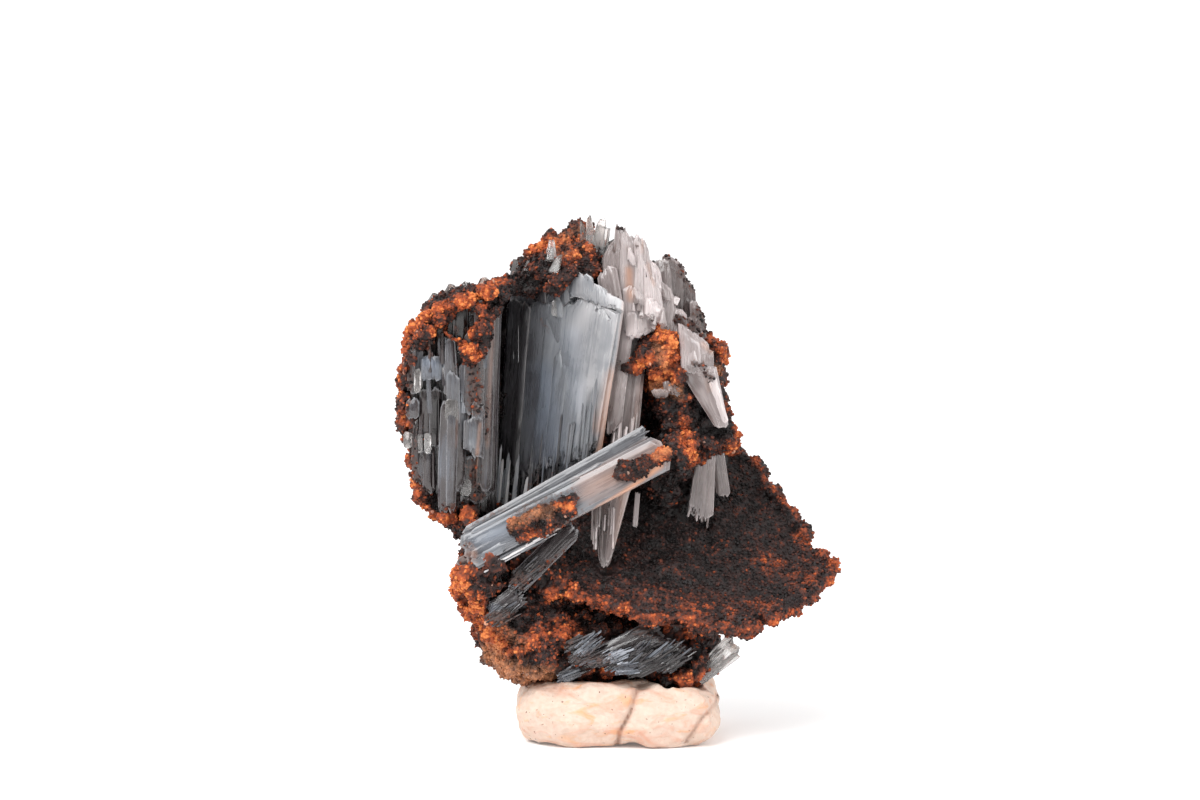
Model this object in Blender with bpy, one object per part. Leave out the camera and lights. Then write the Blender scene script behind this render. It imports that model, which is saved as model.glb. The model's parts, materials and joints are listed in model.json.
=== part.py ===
"""A barite specimen: striated blades set in a crusted iron-oxide matrix, stood on a pressed blob of mineral tack.

Run it with  blender --background --python part.py
Sizes in this file are millimetres, turned to Blender's metres by MM. +Z is up and -Y is the front.
The origin is the middle of the face that the tack rests on.
"""

import math
import random

import bmesh
import bpy
from mathutils import Matrix, Vector

MM = 0.001
GAP = 0.3  # clearance between a crystal and the socket that it sits in
SMALL_CRYSTAL = 1.15  # crystals thinner than this keep sharp long edges
FRONT = Vector((0, -1, 0))
RIGHT = Vector((1, 0, 0))

# Driving dimensions of the whole piece
TACK_WIDTH = 20.6
TACK_DEPTH = 19.6
TACK_HEIGHT = 6.6
PLATE_THICKNESS = 1.7
PLATE_HEIGHT = 20.4  # height of the ledge's plane over the origin
PLATE_RISE_BACK = 0.67  # rise per millimetre towards the back
PLATE_FALL_RIGHT = 0.2  # fall per millimetre towards the right
CRUST_VOXEL = 0.55
MATRIX_TRIANGLES = 1650


def vec(x, y, z):
    """A point given in millimetres, as a vector in metres."""
    return Vector((x, y, z)) * MM


def clear_scene():
    for old in list(bpy.data.objects):
        bpy.data.objects.remove(old, do_unlink=True)


def add_object(name, bm):
    """A new object from a bmesh, faces turned outwards."""
    bm.normal_update()
    bmesh.ops.recalc_face_normals(bm, faces=bm.faces)
    mesh = bpy.data.meshes.new(name)
    bm.to_mesh(mesh)
    bm.free()
    obj = bpy.data.objects.new(name, mesh)
    bpy.context.collection.objects.link(obj)
    return obj


def discard(*objects):
    for obj in objects:
        bpy.data.objects.remove(obj, do_unlink=True)


def bake(obj):
    """Turns the object's modifiers into its mesh."""
    bpy.context.view_layer.update()
    graph = bpy.context.evaluated_depsgraph_get()
    mesh = bpy.data.meshes.new_from_object(obj.evaluated_get(graph))
    obj.modifiers.clear()
    obj.data = mesh
    return obj


def combine(obj, others, operation, solver="EXACT"):
    """Joins or cuts obj with each of the others, which are then thrown away."""
    for other in others:
        step = obj.modifiers.new(operation.lower(), "BOOLEAN")
        step.operation = operation
        step.solver = solver
        step.object = other
    bake(obj)
    discard(*others)
    return obj


def keep_largest(obj):
    """Drops crumbs that a cut has severed from the main body."""
    bm = bmesh.new()
    bm.from_mesh(obj.data)
    unseen = set(bm.verts)
    islands = []
    while unseen:
        front = [unseen.pop()]
        island = list(front)
        while front:
            vert = front.pop()
            near = [e.other_vert(vert) for e in vert.link_edges]
            fresh = [v for v in near if v in unseen]
            unseen.difference_update(fresh)
            front += fresh
            island += fresh
        islands.append(island)
    islands.sort(key=len)
    for island in islands[:-1]:
        bmesh.ops.delete(bm, geom=island, context="VERTS")
    bm.to_mesh(obj.data)
    bm.free()
    return obj


# ---------------------------------------------------------------- crystals


def lath(foot, tip, width, thickness, facing=FRONT, grow=0.0):
    """A flat crystal from foot to tip: long edges bevelled, both ends sloped to a blunt point."""
    foot, tip = vec(*foot), vec(*tip)
    along = (tip - foot).normalized()
    across = along.cross(facing).normalized()
    normal = along.cross(across)
    half = Vector(((width / 2 + grow) * MM, (thickness / 2 + grow) * MM, (tip - foot).length / 2 + grow * MM))
    point = min(half.x * 0.7, half.z * 0.3)

    bm = bmesh.new()
    bmesh.ops.create_cube(bm, size=2.0)
    bmesh.ops.scale(bm, vec=(half.x, half.y, half.z - point), verts=bm.verts)
    for end in [f for f in bm.faces if abs(f.normal.z) > 0.9]:
        bmesh.ops.inset_region(bm, faces=[end], thickness=half.y * 0.6, depth=point)
        bmesh.ops.scale(bm, vec=(0.45, 1, 1), verts=end.verts)
    if thickness > SMALL_CRYSTAL:
        sides = [e for e in bm.edges if abs(e.verts[0].co.z - e.verts[1].co.z) > half.z]
        bmesh.ops.bevel(bm, geom=sides, offset=min(half.x, half.y) * 0.45, segments=1, affect="EDGES")
    turn = Matrix((across, normal, along)).transposed().to_4x4()
    bm.transform(Matrix.Translation((foot + tip) / 2) @ turn)
    return add_object("lath", bm)


def bundle(left, right, count, thickness, seed, arch=0.0, overlap=1.45, relief=0.3, ragged=1.0, grow=0.0):
    """Laths side by side between two border lines, each a (foot, tip) pair: a cleaved, striated blade."""
    chance = random.Random(seed)
    feet = Vector(left[0]), Vector(right[0])
    tips = Vector(left[1]), Vector(right[1])
    spread = max((feet[1] - feet[0]).length, (tips[1] - tips[0]).length)
    width = overlap * spread / max(count - 1, 1)
    across = (feet[1] - feet[0] + tips[1] - tips[0]).normalized()
    laths = []
    for i in range(count):
        t = i / max(count - 1, 1)
        foot = feet[0].lerp(feet[1], t)
        tip = tips[0].lerp(tips[1], t)
        tip.z += arch * math.sin(math.pi * t)
        along = (tip - foot).normalized()
        facing = along.cross(across).normalized()
        if facing.y > 0:
            facing.negate()
        foot += along * chance.uniform(0, ragged) + facing * chance.uniform(-relief, relief)
        tip += -along * chance.uniform(0, ragged) + facing * chance.uniform(-relief, relief)
        wide = width * chance.uniform(0.85, 1.15)
        thick = thickness * chance.uniform(0.8, 1.1)
        laths.append(lath(foot, tip, wide, thick, facing, grow))
    return laths


def fused(name, shapes):
    """One crystal group: the shapes joined in one solid."""
    first, *rest = shapes
    first.name = name
    return combine(first, rest, "UNION")


# ---------------------------------------------------------------- the crystal groups
# Each takes grow, so that the same group, a little larger, can cut its own socket in the crust.


def left_stack(grow=0.0):
    """Plates standing on edge, side by side, with narrow laths over their front edges."""
    chance = random.Random(4)
    count = 9
    first_foot, first_tip = Vector((-20.2, 0.2, 28.0)), Vector((-20.0, 0.4, 39.2))
    low_foot, last_foot = Vector((-16.6, -0.4, 22.4)), Vector((-13.6, -0.6, 21.6))
    last_tip = Vector((-11.9, 0.2, 44.6))
    shapes = []
    for i in range(count):
        t = i / (count - 1)
        foot = first_foot.lerp(low_foot, t * 2) if t < 0.5 else low_foot.lerp(last_foot, t * 2 - 1)
        tip = first_tip.lerp(last_tip, t)
        tip.z += 1.3 * math.sin(math.pi * t)
        setback = Vector((0, chance.uniform(-0.5, 0.7), 0))
        deep = 7.4 + chance.uniform(-0.4, 0.4)
        shapes.append(lath(foot + setback, tip + setback, deep, 1.6, RIGHT, grow))
    shapes.append(lath((-15.7, -4.3, 20.9), (-14.9, -4.4, 36.8), 3.2, 1.3, FRONT, grow))
    shapes.append(lath((-19.4, -3.6, 27.2), (-18.9, -3.6, 34.0), 1.6, 1.2, FRONT, grow))
    shapes.append(lath((-17.6, -3.9, 26.0), (-17.2, -3.9, 40.5), 1.5, 1.2, FRONT, grow))
    shapes.append(lath((-13.5, -4.6, 27.8), (-12.9, -4.6, 38.4), 2.1, 1.2, FRONT, grow))
    return shapes


def broad_blade(grow=0.0):
    """The broad grey-blue blade in the middle, its right edge nearest the front."""
    left = ((-12.0, 5.6, 21.6), (-10.4, 6.0, 46.6))
    right = ((-2.7, -3.6, 27.2), (0.5, -2.8, 44.8))
    return bundle(left, right, 9, 2.3, seed=11, arch=0.9, relief=0.22, ragged=0.8, grow=grow)


def tall_blade(grow=0.0):
    """The long blade behind it, from the crown down to a tapering tip that hangs over the ledge."""
    shapes = [
        lath((-0.9, -4.9, 17.3), (2.3, 2.6, 43.0), 2.6, 1.4, FRONT, grow),
        lath((0.5, -3.7, 20.4), (3.3, 2.4, 43.5), 1.8, 1.3, FRONT, grow),
        lath((-1.6, -3.0, 21.4), (1.2, 2.2, 42.0), 1.5, 1.1, FRONT, grow),
    ]
    shapes += bundle(
        ((-0.8, 1.2, 40.5), (0.0, 2.2, 49.4)), ((4.3, 1.8, 38.8), (3.2, 2.8, 48.6)), 5, 2.4,
        seed=5, arch=2.2, relief=0.5, ragged=1.2, grow=grow,
    )
    return shapes


def cross_blade(grow=0.0):
    """The blade that lies aslant across the front."""
    upper = lath((-15.8, -7.8, 20.6), (4.0, -5.7, 32.0), 2.3, 1.2, Vector((0, -1, 0.25)), grow)
    main = lath((-15.6, -8.9, 19.2), (5.0, -6.6, 29.8), 3.9, 1.6, Vector((0, -1, 0.3)), grow)
    lower = lath((-16.2, -8.7, 17.9), (-5.0, -7.9, 23.6), 3.0, 1.5, Vector((0, -1, 0.2)), grow)
    splint = lath((-13.4, -9.2, 17.3), (-3.6, -8.6, 22.2), 1.2, 1.0, Vector((0, -1, 0.1)), grow)
    patches = [((-8.6, -9.3, 22.4), (1.8, 0.6, 1.1)), ((-5.6, -9.0, 24.0), (2.2, 0.6, 1.3)), ((2.6, -7.5, 28.2), (1.9, 0.8, 1.0))]
    return [main, upper, lower, splint, *(lump(place, Vector(size) + Vector((grow,) * 3)) for place, size in patches)]


def under_blade(grow=0.0):
    """The blade below it, nearly parallel, half sunk in the base."""
    return [
        lath((-12.6, -7.2, 14.2), (-3.8, -5.8, 22.4), 2.8, 1.6, Vector((0, -1, 0.1)), grow),
        lath((-13.2, -7.6, 12.8), (-7.4, -7.0, 17.2), 2.0, 1.3, FRONT, grow),
    ]


def right_blade(grow=0.0):
    """The pale blade that slants down to the right, with a broken head."""
    return [
        lath((10.6, -0.7, 30.9), (7.0, 0.9, 40.8), 2.7, 1.5, Vector((-0.3, -1, 0.2)), grow),
        lath((11.0, 0.6, 36.6), (5.8, 1.2, 41.4), 2.6, 1.6, Vector((0.2, -1, 0.3)), grow),
        lath((9.2, 0.2, 33.6), (6.2, 1.4, 42.2), 2.2, 1.8, Vector((0.3, -1, 0)), grow),
    ]


def fan_blade(grow=0.0):
    """The short blade that spreads like a fan from the crust down to the ledge."""
    shapes = bundle(
        ((6.9, 2.9, 21.4), (7.9, 3.0, 29.6)), ((9.6, 3.2, 21.3), (9.4, 3.2, 29.8)), 4, 1.2,
        seed=3, relief=0.15, ragged=0.5, grow=grow,
    )
    return [*shapes, lath((10.7, 4.0, 24.9), (9.5, 3.7, 29.4), 1.6, 1.1, FRONT, grow)]


def foot_blade(grow=0.0):
    """The clear little blade low on the right."""
    return [
        lath((7.6, -4.6, 5.9), (12.3, -4.2, 10.1), 1.7, 1.2, FRONT, grow),
        lath((8.2, -4.0, 7.0), (11.9, -3.6, 10.9), 1.3, 1.0, Vector((0.3, -1, 0)), grow),
    ]


def base_blade(grow=0.0):
    """Blue-grey laths laid open in the front of the base."""
    return bundle(
        ((-4.6, -6.6, 8.6), (4.4, -6.2, 13.2)), ((0.6, -7.0, 6.6), (8.6, -6.4, 10.6)), 4, 2.4,
        seed=8, relief=0.35, ragged=1.2, grow=grow,
    )


def rear_blade(grow=0.0):
    """Smoky plates behind the crown on the right."""
    return [
        lath((4.6, 5.0, 38.0), (4.9, 5.6, 48.2), 2.8, 1.6, Vector((0.4, -1, 0)), grow),
        lath((6.6, 5.4, 37.4), (6.3, 6.2, 45.6), 2.6, 1.8, Vector((0.6, -1, 0)), grow),
    ]


def back_blades(grow=0.0):
    """A fan of plates laid open in the back of the crust, with a smaller spray across its foot."""
    fan = bundle(
        ((2.6, 12.2, 19.6), (6.4, 11.4, 38.4)), ((-8.6, 12.6, 18.4), (-9.6, 11.8, 40.6)), 6, 2.4,
        seed=21, arch=1.6, relief=0.3, ragged=1.4, grow=grow,
    )
    spray = bundle(
        ((-13.4, 9.0, 17.6), (-3.4, 12.6, 27.6)), ((-10.4, 9.0, 14.4), (0.6, 12.4, 23.4)), 3, 2.0,
        seed=22, relief=0.3, ragged=1.0, grow=grow,
    )
    return [*fan, *spray]


def crown_crystals(grow=0.0):
    """Small clear crystals that stand on the very top."""
    return [
        lath((-2.5, 2.9, 48.2), (-2.6, 2.7, 52.3), 1.2, 0.9, FRONT, grow),
        lath((-1.9, 3.2, 48.0), (-1.6, 3.0, 51.6), 1.5, 1.0, Vector((0.5, -1, 0)), grow),
        lath((-1.7, 3.4, 47.8), (-1.1, 3.5, 50.9), 1.3, 1.0, Vector((-0.4, -1, 0)), grow),
        lath((-3.1, 3.1, 48.4), (-3.6, 3.1, 51.2), 1.1, 0.9, FRONT, grow),
    ]


# ---------------------------------------------------------------- the crusted matrix


def ledge_height(x, y):
    return PLATE_HEIGHT + PLATE_RISE_BACK * y - PLATE_FALL_RIGHT * x


def lump(centre, radii):
    """One rounded lump of crust."""
    bm = bmesh.new()
    bmesh.ops.create_icosphere(bm, subdivisions=2, radius=MM)
    bmesh.ops.scale(bm, vec=radii, verts=bm.verts)
    bmesh.ops.translate(bm, vec=vec(*centre), verts=bm.verts)
    return add_object("lump", bm)


def lump_chain(points, radii, per_span=3):
    """Lumps strung along a line of points."""
    made = []
    for start, end in zip(points, points[1:]):
        for i in range(per_span):
            made.append(lump(Vector(start).lerp(Vector(end), i / per_span), radii))
    return [*made, lump(points[-1], radii)]


def ledge():
    """The tilted plate that juts out to the right: a broken outline, drawn as x and y, laid on its plane."""
    outline = [
        (-13.2, -4.2), (-7.7, -6.6), (-1.7, -8.1), (4.3, -8.6), (9.0, -8.6), (12.8, -7.9),
        (14.0, -6.9), (15.9, -4.8), (17.8, -2.4), (19.6, -0.4), (21.9, 1.2), (21.2, 2.7),
        (20.2, 3.6), (19.2, 2.9), (19.5, 4.9), (18.2, 6.6), (16.8, 9.4), (15.8, 11.4),
        (13.8, 13.5), (8.0, 13.8), (0.0, 13.4), (-8.0, 10.5), (-12.5, 6.0), (-14.0, 0.0),
    ]
    bm = bmesh.new()
    top = [bm.verts.new(vec(x, y, ledge_height(x, y) - 0.3)) for x, y in outline]
    face = bm.faces.new(top)
    made = bmesh.ops.extrude_face_region(bm, geom=[face])
    sunk = [v for v in made["geom"] if isinstance(v, bmesh.types.BMVert)]
    bmesh.ops.translate(bm, vec=vec(0, 0, -PLATE_THICKNESS), verts=sunk)
    return add_object("ledge", bm)


def base_lumps():
    return [
        lump((-8.4, 0.0, 11.4), (6.3, 7.2, 5.8)),
        lump((-13.3, -2.9, 15.4), (3.2, 4.8, 3.3)),
        lump((-13.6, -6.8, 16.9), (2.7, 2.9, 2.3)),
        lump((-10.6, -5.0, 12.8), (3.2, 2.6, 2.4)),
        lump((-3.0, 0.4, 9.4), (7.0, 7.0, 4.6)),
        lump((4.0, 1.0, 9.6), (6.4, 7.4, 4.6)),
        lump((6.4, -3.4, 7.9), (3.8, 3.8, 2.8)),
        lump((-7.9, -4.6, 9.7), (4.2, 3.4, 3.8)),
        lump((-9.4, -2.0, 8.4), (3.2, 4.4, 3.0)),
        lump((6.0, 5.0, 14.0), (8.0, 6.0, 5.5)),
        lump((-7.0, 4.0, 17.0), (8.0, 6.5, 5.5)),
    ]


def back_lumps():
    """The wall of crust that the blades grow from."""
    return [
        lump((-8.0, 9.6, 29.0), (9.0, 4.6, 13.5)),
        lump((3.5, 9.8, 30.0), (7.2, 4.6, 13.0)),
        lump((-14.8, 6.4, 31.6), (5.2, 3.6, 9.5)),
        lump((-6.0, 8.0, 41.0), (7.0, 3.6, 5.2)),
        lump((9.2, 6.0, 30.2), (2.6, 3.8, 4.2)),
        lump((8.9, 6.6, 36.8), (2.1, 3.2, 2.6)),
        lump((6.2, 7.6, 40.6), (1.7, 3.0, 2.8)),
        lump((4.2, 8.0, 44.0), (2.5, 2.6, 3.4)),
    ]


def ridge_lumps():
    """The ridge of crust between the tall blade and the right blade, and the pillar under it."""
    return [
        lump((4.4, -0.2, 38.4), (2.3, 1.9, 2.7)),
        lump((5.6, 1.8, 36.0), (2.4, 2.8, 3.6)),
        lump((5.9, 1.0, 32.2), (1.8, 2.2, 2.6)),
        lump((6.2, 0.6, 28.8), (2.2, 2.4, 2.2)),
        lump((5.9, -3.0, 28.9), (1.7, 3.8, 1.7)),
        lump((8.4, 1.6, 29.8), (2.3, 2.4, 1.9)),
        lump((10.4, 2.6, 30.2), (1.8, 2.4, 2.0)),
        lump((5.0, 4.6, 26.0), (3.2, 3.4, 4.4)),
        lump((7.8, 5.4, 35.0), (3.0, 3.4, 5.0)),
        *lump_chain([(0.8, -0.4, 37.7), (2.6, -0.6, 38.0)], (0.7, 0.8, 0.7), per_span=2),
    ]


def rim_lumps():
    """The crust that wraps the outer edge of the left stack."""
    top = [(-11.4, 0.6, 45.0), (-14.5, 0.4, 44.2), (-17.0, 0.4, 43.2), (-19.0, 0.4, 41.4), (-20.3, 0.4, 39.2)]
    side = [(-20.9, 0.8, 36.4), (-20.8, 0.8, 33.4), (-20.8, 0.8, 31.0), (-20.5, 0.8, 28.4)]
    bottom = [(-19.6, 0.4, 25.8), (-18.2, 0.2, 24.2), (-16.8, 0.0, 22.8), (-15.2, 0.0, 21.4), (-13.0, 0.4, 20.8)]
    return [
        *lump_chain(top, (1.0, 4.2, 1.0)),
        *lump_chain(side, (0.8, 3.6, 1.1)),
        *lump_chain(bottom, (1.1, 3.8, 1.1)),
        lump((-13.0, 1.0, 18.4), (2.8, 3.6, 3.4)),
        *lump_chain([(-11.8, -3.6, 44.4), (-13.2, -4.6, 41.6), (-14.0, -4.7, 38.4)], (0.9, 0.9, 1.1)),
    ]


def top_lumps():
    """The crust that caps the broad blade."""
    return [
        lump((-8.2, 4.2, 46.6), (2.2, 3.6, 1.8)),
        lump((-5.4, 3.4, 47.7), (2.8, 3.6, 2.1)),
        lump((-2.6, 3.0, 48.1), (2.3, 3.0, 1.9)),
        lump((-5.6, 0.4, 46.0), (3.0, 1.8, 1.6)),
        lump((-8.6, 3.0, 45.4), (1.8, 1.8, 1.6)),
        lump((-3.0, 6.0, 44.6), (5.2, 3.4, 3.8)),
    ]


def noise_texture(name, kind, size, **settings):
    texture = bpy.data.textures.new(name, kind)
    texture.noise_scale = size * MM
    for key, value in settings.items():
        setattr(texture, key, value)
    return texture


def roughen(obj, texture, height):
    step = obj.modifiers.new("lumps", "DISPLACE")
    step.texture = texture
    step.strength = height * MM
    step.mid_level = 0.5


def crust_body(name, lumps, triangles):
    """All the lumps melted together, roughened, and kept to a number of triangles."""
    graph_bm = bmesh.new()
    for one in lumps:
        graph_bm.from_mesh(one.data)
    discard(*lumps)
    body = add_object(name, graph_bm)
    melt = body.modifiers.new("melt", "REMESH")
    melt.mode = "VOXEL"
    melt.voxel_size = CRUST_VOXEL * MM
    roughen(body, noise_texture("knobs", "CLOUDS", 2.2), 1.4)
    roughen(body, noise_texture("grains", "VORONOI", 1.1), 0.7)
    bake(body)
    fewer = body.modifiers.new("fewer", "DECIMATE")
    fewer.ratio = triangles / (2 * len(body.data.polygons))
    return bake(body)


# ---------------------------------------------------------------- the tack


def mineral_tack():
    """The putty: a squashed blob with a flat sole, two lobes and a fold between them at the front."""
    bm = bmesh.new()
    bmesh.ops.create_cube(bm, size=2.0)
    bmesh.ops.subdivide_edges(bm, edges=bm.edges, cuts=5, use_grid_fill=True)
    for vert in bm.verts:
        x, y, z = vert.co
        round_off = 1.0 / max(1e-6, (abs(x) ** 4 + abs(y) ** 4) ** 0.25) * max(abs(x), abs(y))
        bulge = 1.0 - 0.16 * z * z - 0.05 * z
        fold = math.exp(-((x * 1.0 - 0.18 - 0.18 * z) / 0.1) ** 2) * max(0.0, -y) * 0.09
        vert.co.x = x * round_off * bulge * (1 - 0.03 * y)
        vert.co.y = y * round_off * bulge * (1 - fold) * (1 + 0.05 * x)
        vert.co.z = z + 0.10 * (z > 0) * (x * 0.4 - y * 0.3)
    sole = [v for v in bm.verts if v.co.z < -0.99]
    bmesh.ops.scale(bm, vec=(TACK_WIDTH / 2 * MM, TACK_DEPTH / 2 * MM, TACK_HEIGHT / 2 * MM), verts=bm.verts)
    bmesh.ops.translate(bm, vec=vec(0.05, 0.8, TACK_HEIGHT / 2), verts=bm.verts)
    for vert in sole:
        vert.co.z = 0.0
    bmesh.ops.dissolve_limit(bm, angle_limit=math.radians(1), verts=bm.verts, edges=bm.edges)
    return add_object("mineral_tack", bm)


# ---------------------------------------------------------------- putting it together

CRYSTALS = {
    "cross_blade": cross_blade,
    "broad_blade": broad_blade,
    "left_stack": left_stack,
    "tall_blade": tall_blade,
    "under_blade": under_blade,
    "right_blade": right_blade,
    "fan_blade": fan_blade,
    "foot_blade": foot_blade,
    "base_blade": base_blade,
    "rear_blade": rear_blade,
    "back_blades": back_blades,
    "crown_crystals": crown_crystals,
}


def material(name, colour, roughness):
    made = bpy.data.materials.new(name)
    made.use_nodes = True
    shader = made.node_tree.nodes["Principled BSDF"]
    shader.inputs["Base Color"].default_value = (*colour, 1)
    shader.inputs["Roughness"].default_value = roughness
    shader.inputs["Metallic"].default_value = 0.0
    return made


def swollen(obj):
    """A copy of a finished body, a gap larger all round, to press its own bed into the tack."""
    copy = bpy.data.objects.new("bed", obj.data.copy())
    bpy.context.collection.objects.link(copy)
    step = copy.modifiers.new("gap", "DISPLACE")
    step.strength = GAP * MM
    step.mid_level = 0.0
    return bake(copy)


def build():
    clear_scene()
    barite = material("barite", (0.42, 0.47, 0.50), 0.3)
    crust = material("iron_crust", (0.16, 0.08, 0.05), 0.85)
    putty = material("tack", (0.86, 0.74, 0.62), 0.6)

    lumps = [ledge(), *base_lumps(), *back_lumps(), *ridge_lumps(), *rim_lumps(), *top_lumps()]
    matrix = crust_body("crusted_matrix", lumps, MATRIX_TRIANGLES)

    done = []
    for name, make in CRYSTALS.items():
        crystal = fused(name, make())
        for earlier in done:
            combine(crystal, CRYSTALS[earlier](GAP), "DIFFERENCE")
        keep_largest(crystal)
        combine(matrix, make(GAP), "DIFFERENCE", solver="MANIFOLD")  # the crust folds back on itself
        crystal.data.materials.clear()
        crystal.data.materials.append(barite)
        done.append(name)
    keep_largest(matrix)
    matrix.data.materials.clear()
    matrix.data.materials.append(crust)

    tack = mineral_tack()
    combine(tack, [swollen(matrix), *base_blade(GAP), *foot_blade(GAP)], "DIFFERENCE", solver="MANIFOLD")
    keep_largest(tack)
    tack.data.materials.clear()
    tack.data.materials.append(putty)


build()
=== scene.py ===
# %% [markdown]
# # A barite specimen
# Grey-blue blades of barite grow in a dark iron crust, and the whole thing stands on a blob of
# mineral tack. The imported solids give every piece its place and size. This lesson dresses them:
# the blades get their cleaved sheets and streaks, the crust its crumbs, the tack its dents.

# %% Load the fixed frame
import json
import math
import random

import bpy
import numpy as np
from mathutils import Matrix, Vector
from mathutils.bvhtree import BVHTree

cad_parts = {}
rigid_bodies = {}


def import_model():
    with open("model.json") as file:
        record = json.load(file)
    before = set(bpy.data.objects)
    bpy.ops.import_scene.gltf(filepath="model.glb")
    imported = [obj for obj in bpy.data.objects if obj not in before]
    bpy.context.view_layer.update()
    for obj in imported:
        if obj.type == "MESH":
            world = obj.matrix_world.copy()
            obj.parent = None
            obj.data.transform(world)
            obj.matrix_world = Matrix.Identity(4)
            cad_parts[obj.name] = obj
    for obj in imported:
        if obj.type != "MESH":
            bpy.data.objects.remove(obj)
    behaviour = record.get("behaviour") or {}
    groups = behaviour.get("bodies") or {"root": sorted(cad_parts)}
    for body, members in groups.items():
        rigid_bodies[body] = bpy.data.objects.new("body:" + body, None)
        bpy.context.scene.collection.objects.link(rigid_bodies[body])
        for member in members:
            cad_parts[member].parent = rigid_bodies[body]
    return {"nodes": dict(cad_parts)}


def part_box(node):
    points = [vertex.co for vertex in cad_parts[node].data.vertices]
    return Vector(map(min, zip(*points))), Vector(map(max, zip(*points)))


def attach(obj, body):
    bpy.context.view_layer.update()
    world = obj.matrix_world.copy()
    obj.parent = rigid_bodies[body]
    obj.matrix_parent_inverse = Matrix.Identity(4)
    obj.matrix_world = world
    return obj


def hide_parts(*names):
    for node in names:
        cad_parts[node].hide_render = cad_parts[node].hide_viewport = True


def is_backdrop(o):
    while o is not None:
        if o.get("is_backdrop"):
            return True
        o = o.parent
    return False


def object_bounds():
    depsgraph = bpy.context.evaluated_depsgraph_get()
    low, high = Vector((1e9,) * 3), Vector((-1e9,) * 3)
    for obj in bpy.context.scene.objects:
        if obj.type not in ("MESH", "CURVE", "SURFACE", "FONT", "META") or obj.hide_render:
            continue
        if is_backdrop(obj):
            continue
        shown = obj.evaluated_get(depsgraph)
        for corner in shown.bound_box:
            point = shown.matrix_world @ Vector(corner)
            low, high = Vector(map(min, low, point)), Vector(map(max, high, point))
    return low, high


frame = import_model()
cad_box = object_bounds()
MM = 0.001
PER_MM = (1 / MM,) * 3
FRONT = Vector((0, -1, 0))
RIGHT = Vector((1, 0, 0))
print("nodes:", sorted(frame["nodes"]))

# %% [markdown]
# ## The bench tools
# An operator works on whatever is selected, so each tool first deselects everything and then
# takes up its own object. Sizes in this lesson are millimetres, and MM turns them to metres.

# %% Tools for picking up, finishing and joining
def only(obj):
    """Selects this object alone and makes it the active one."""
    bpy.ops.object.select_all(action="DESELECT")
    obj.select_set(True)
    bpy.context.view_layer.objects.active = obj
    return obj


def finish_step(obj, kind, **settings):
    """Adds one modifier, sets it and applies it."""
    only(obj)
    step = obj.modifiers.new(kind.lower(), kind)
    for key, value in settings.items():
        setattr(step, key, value)
    bpy.ops.object.modifier_apply(modifier=step.name)
    return obj


def edit_mode(on, *picked):
    """Goes in or out of edit mode. With SELECT or DESELECT, picks all of the mesh or none of it."""
    bpy.ops.object.mode_set(mode="EDIT" if on else "OBJECT")
    if picked:
        bpy.ops.mesh.select_all(action=picked[0])


def linked(name, mesh):
    """A new object with its own copy of a mesh."""
    made = bpy.data.objects.new(name, mesh.copy())
    bpy.context.collection.objects.link(made)
    return made


def joined(name, parts):
    """Joins loose parts in one object."""
    only(parts[0])
    for part in parts:
        part.select_set(True)
    bpy.ops.object.join()
    whole = bpy.context.object
    whole.name = whole.data.name = name
    return whole


def sewn_copy(node, name):
    """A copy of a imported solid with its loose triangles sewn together."""
    copy = only(linked(name, frame["nodes"][node].data))
    copy.data.materials.clear()
    edit_mode(True, "SELECT")
    bpy.ops.mesh.remove_doubles(threshold=1e-6)
    edit_mode(False)
    return copy


def places(obj):
    """The object's points, in millimetres."""
    flat = np.empty(len(obj.data.vertices) * 3, np.float32)
    obj.data.vertices.foreach_get("co", flat)
    return flat.reshape(-1, 3).astype(float) / MM


def write_places(obj, points):
    """Moves the object's points to these places, in millimetres."""
    obj.data.vertices.foreach_set("co", (points * MM).astype(np.float32).ravel())
    obj.data.update()


def write_field(obj, name, values):
    """Keeps one number, or one vector, at every point of the mesh."""
    kind = "FLOAT" if np.ndim(values) == 1 else "FLOAT_VECTOR"
    field = obj.data.attributes.get(name) or obj.data.attributes.new(name, kind, "POINT")
    field.data.foreach_set("value" if kind == "FLOAT" else "vector", np.asarray(values, np.float32).ravel())


def read_field(obj, name):
    """The numbers kept at the points of the mesh."""
    values = np.empty(len(obj.data.vertices), np.float32)
    obj.data.attributes[name].data.foreach_get("value", values)
    return values.astype(float)


def rows(table):
    """The numbers of a table: a row on each line, or several with a bar between them."""
    return [[float(n) for n in row.split()] for row in table.replace("\n", "|").split("|") if row.strip()]


# %% [markdown]
# ## Nodes written as sums
# A finish is worked out with the same signs as a sum on paper. The class below wraps one node's
# output, so that a plus or a times adds the node that does it. Its method called node adds any
# other kind, and three short ones, field, ramp and mixed, add the kinds used most.

# %% Colours, and a wire from one node to the next
def colour(red, green, blue):
    """A screen colour, 0 to 255, as the light that shaders work with."""
    return (*(c / 3294.6 if c < 10.3 else ((c / 255 + 0.055) / 1.055) ** 2.4 for c in (red, green, blue)), 1.0)


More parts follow.
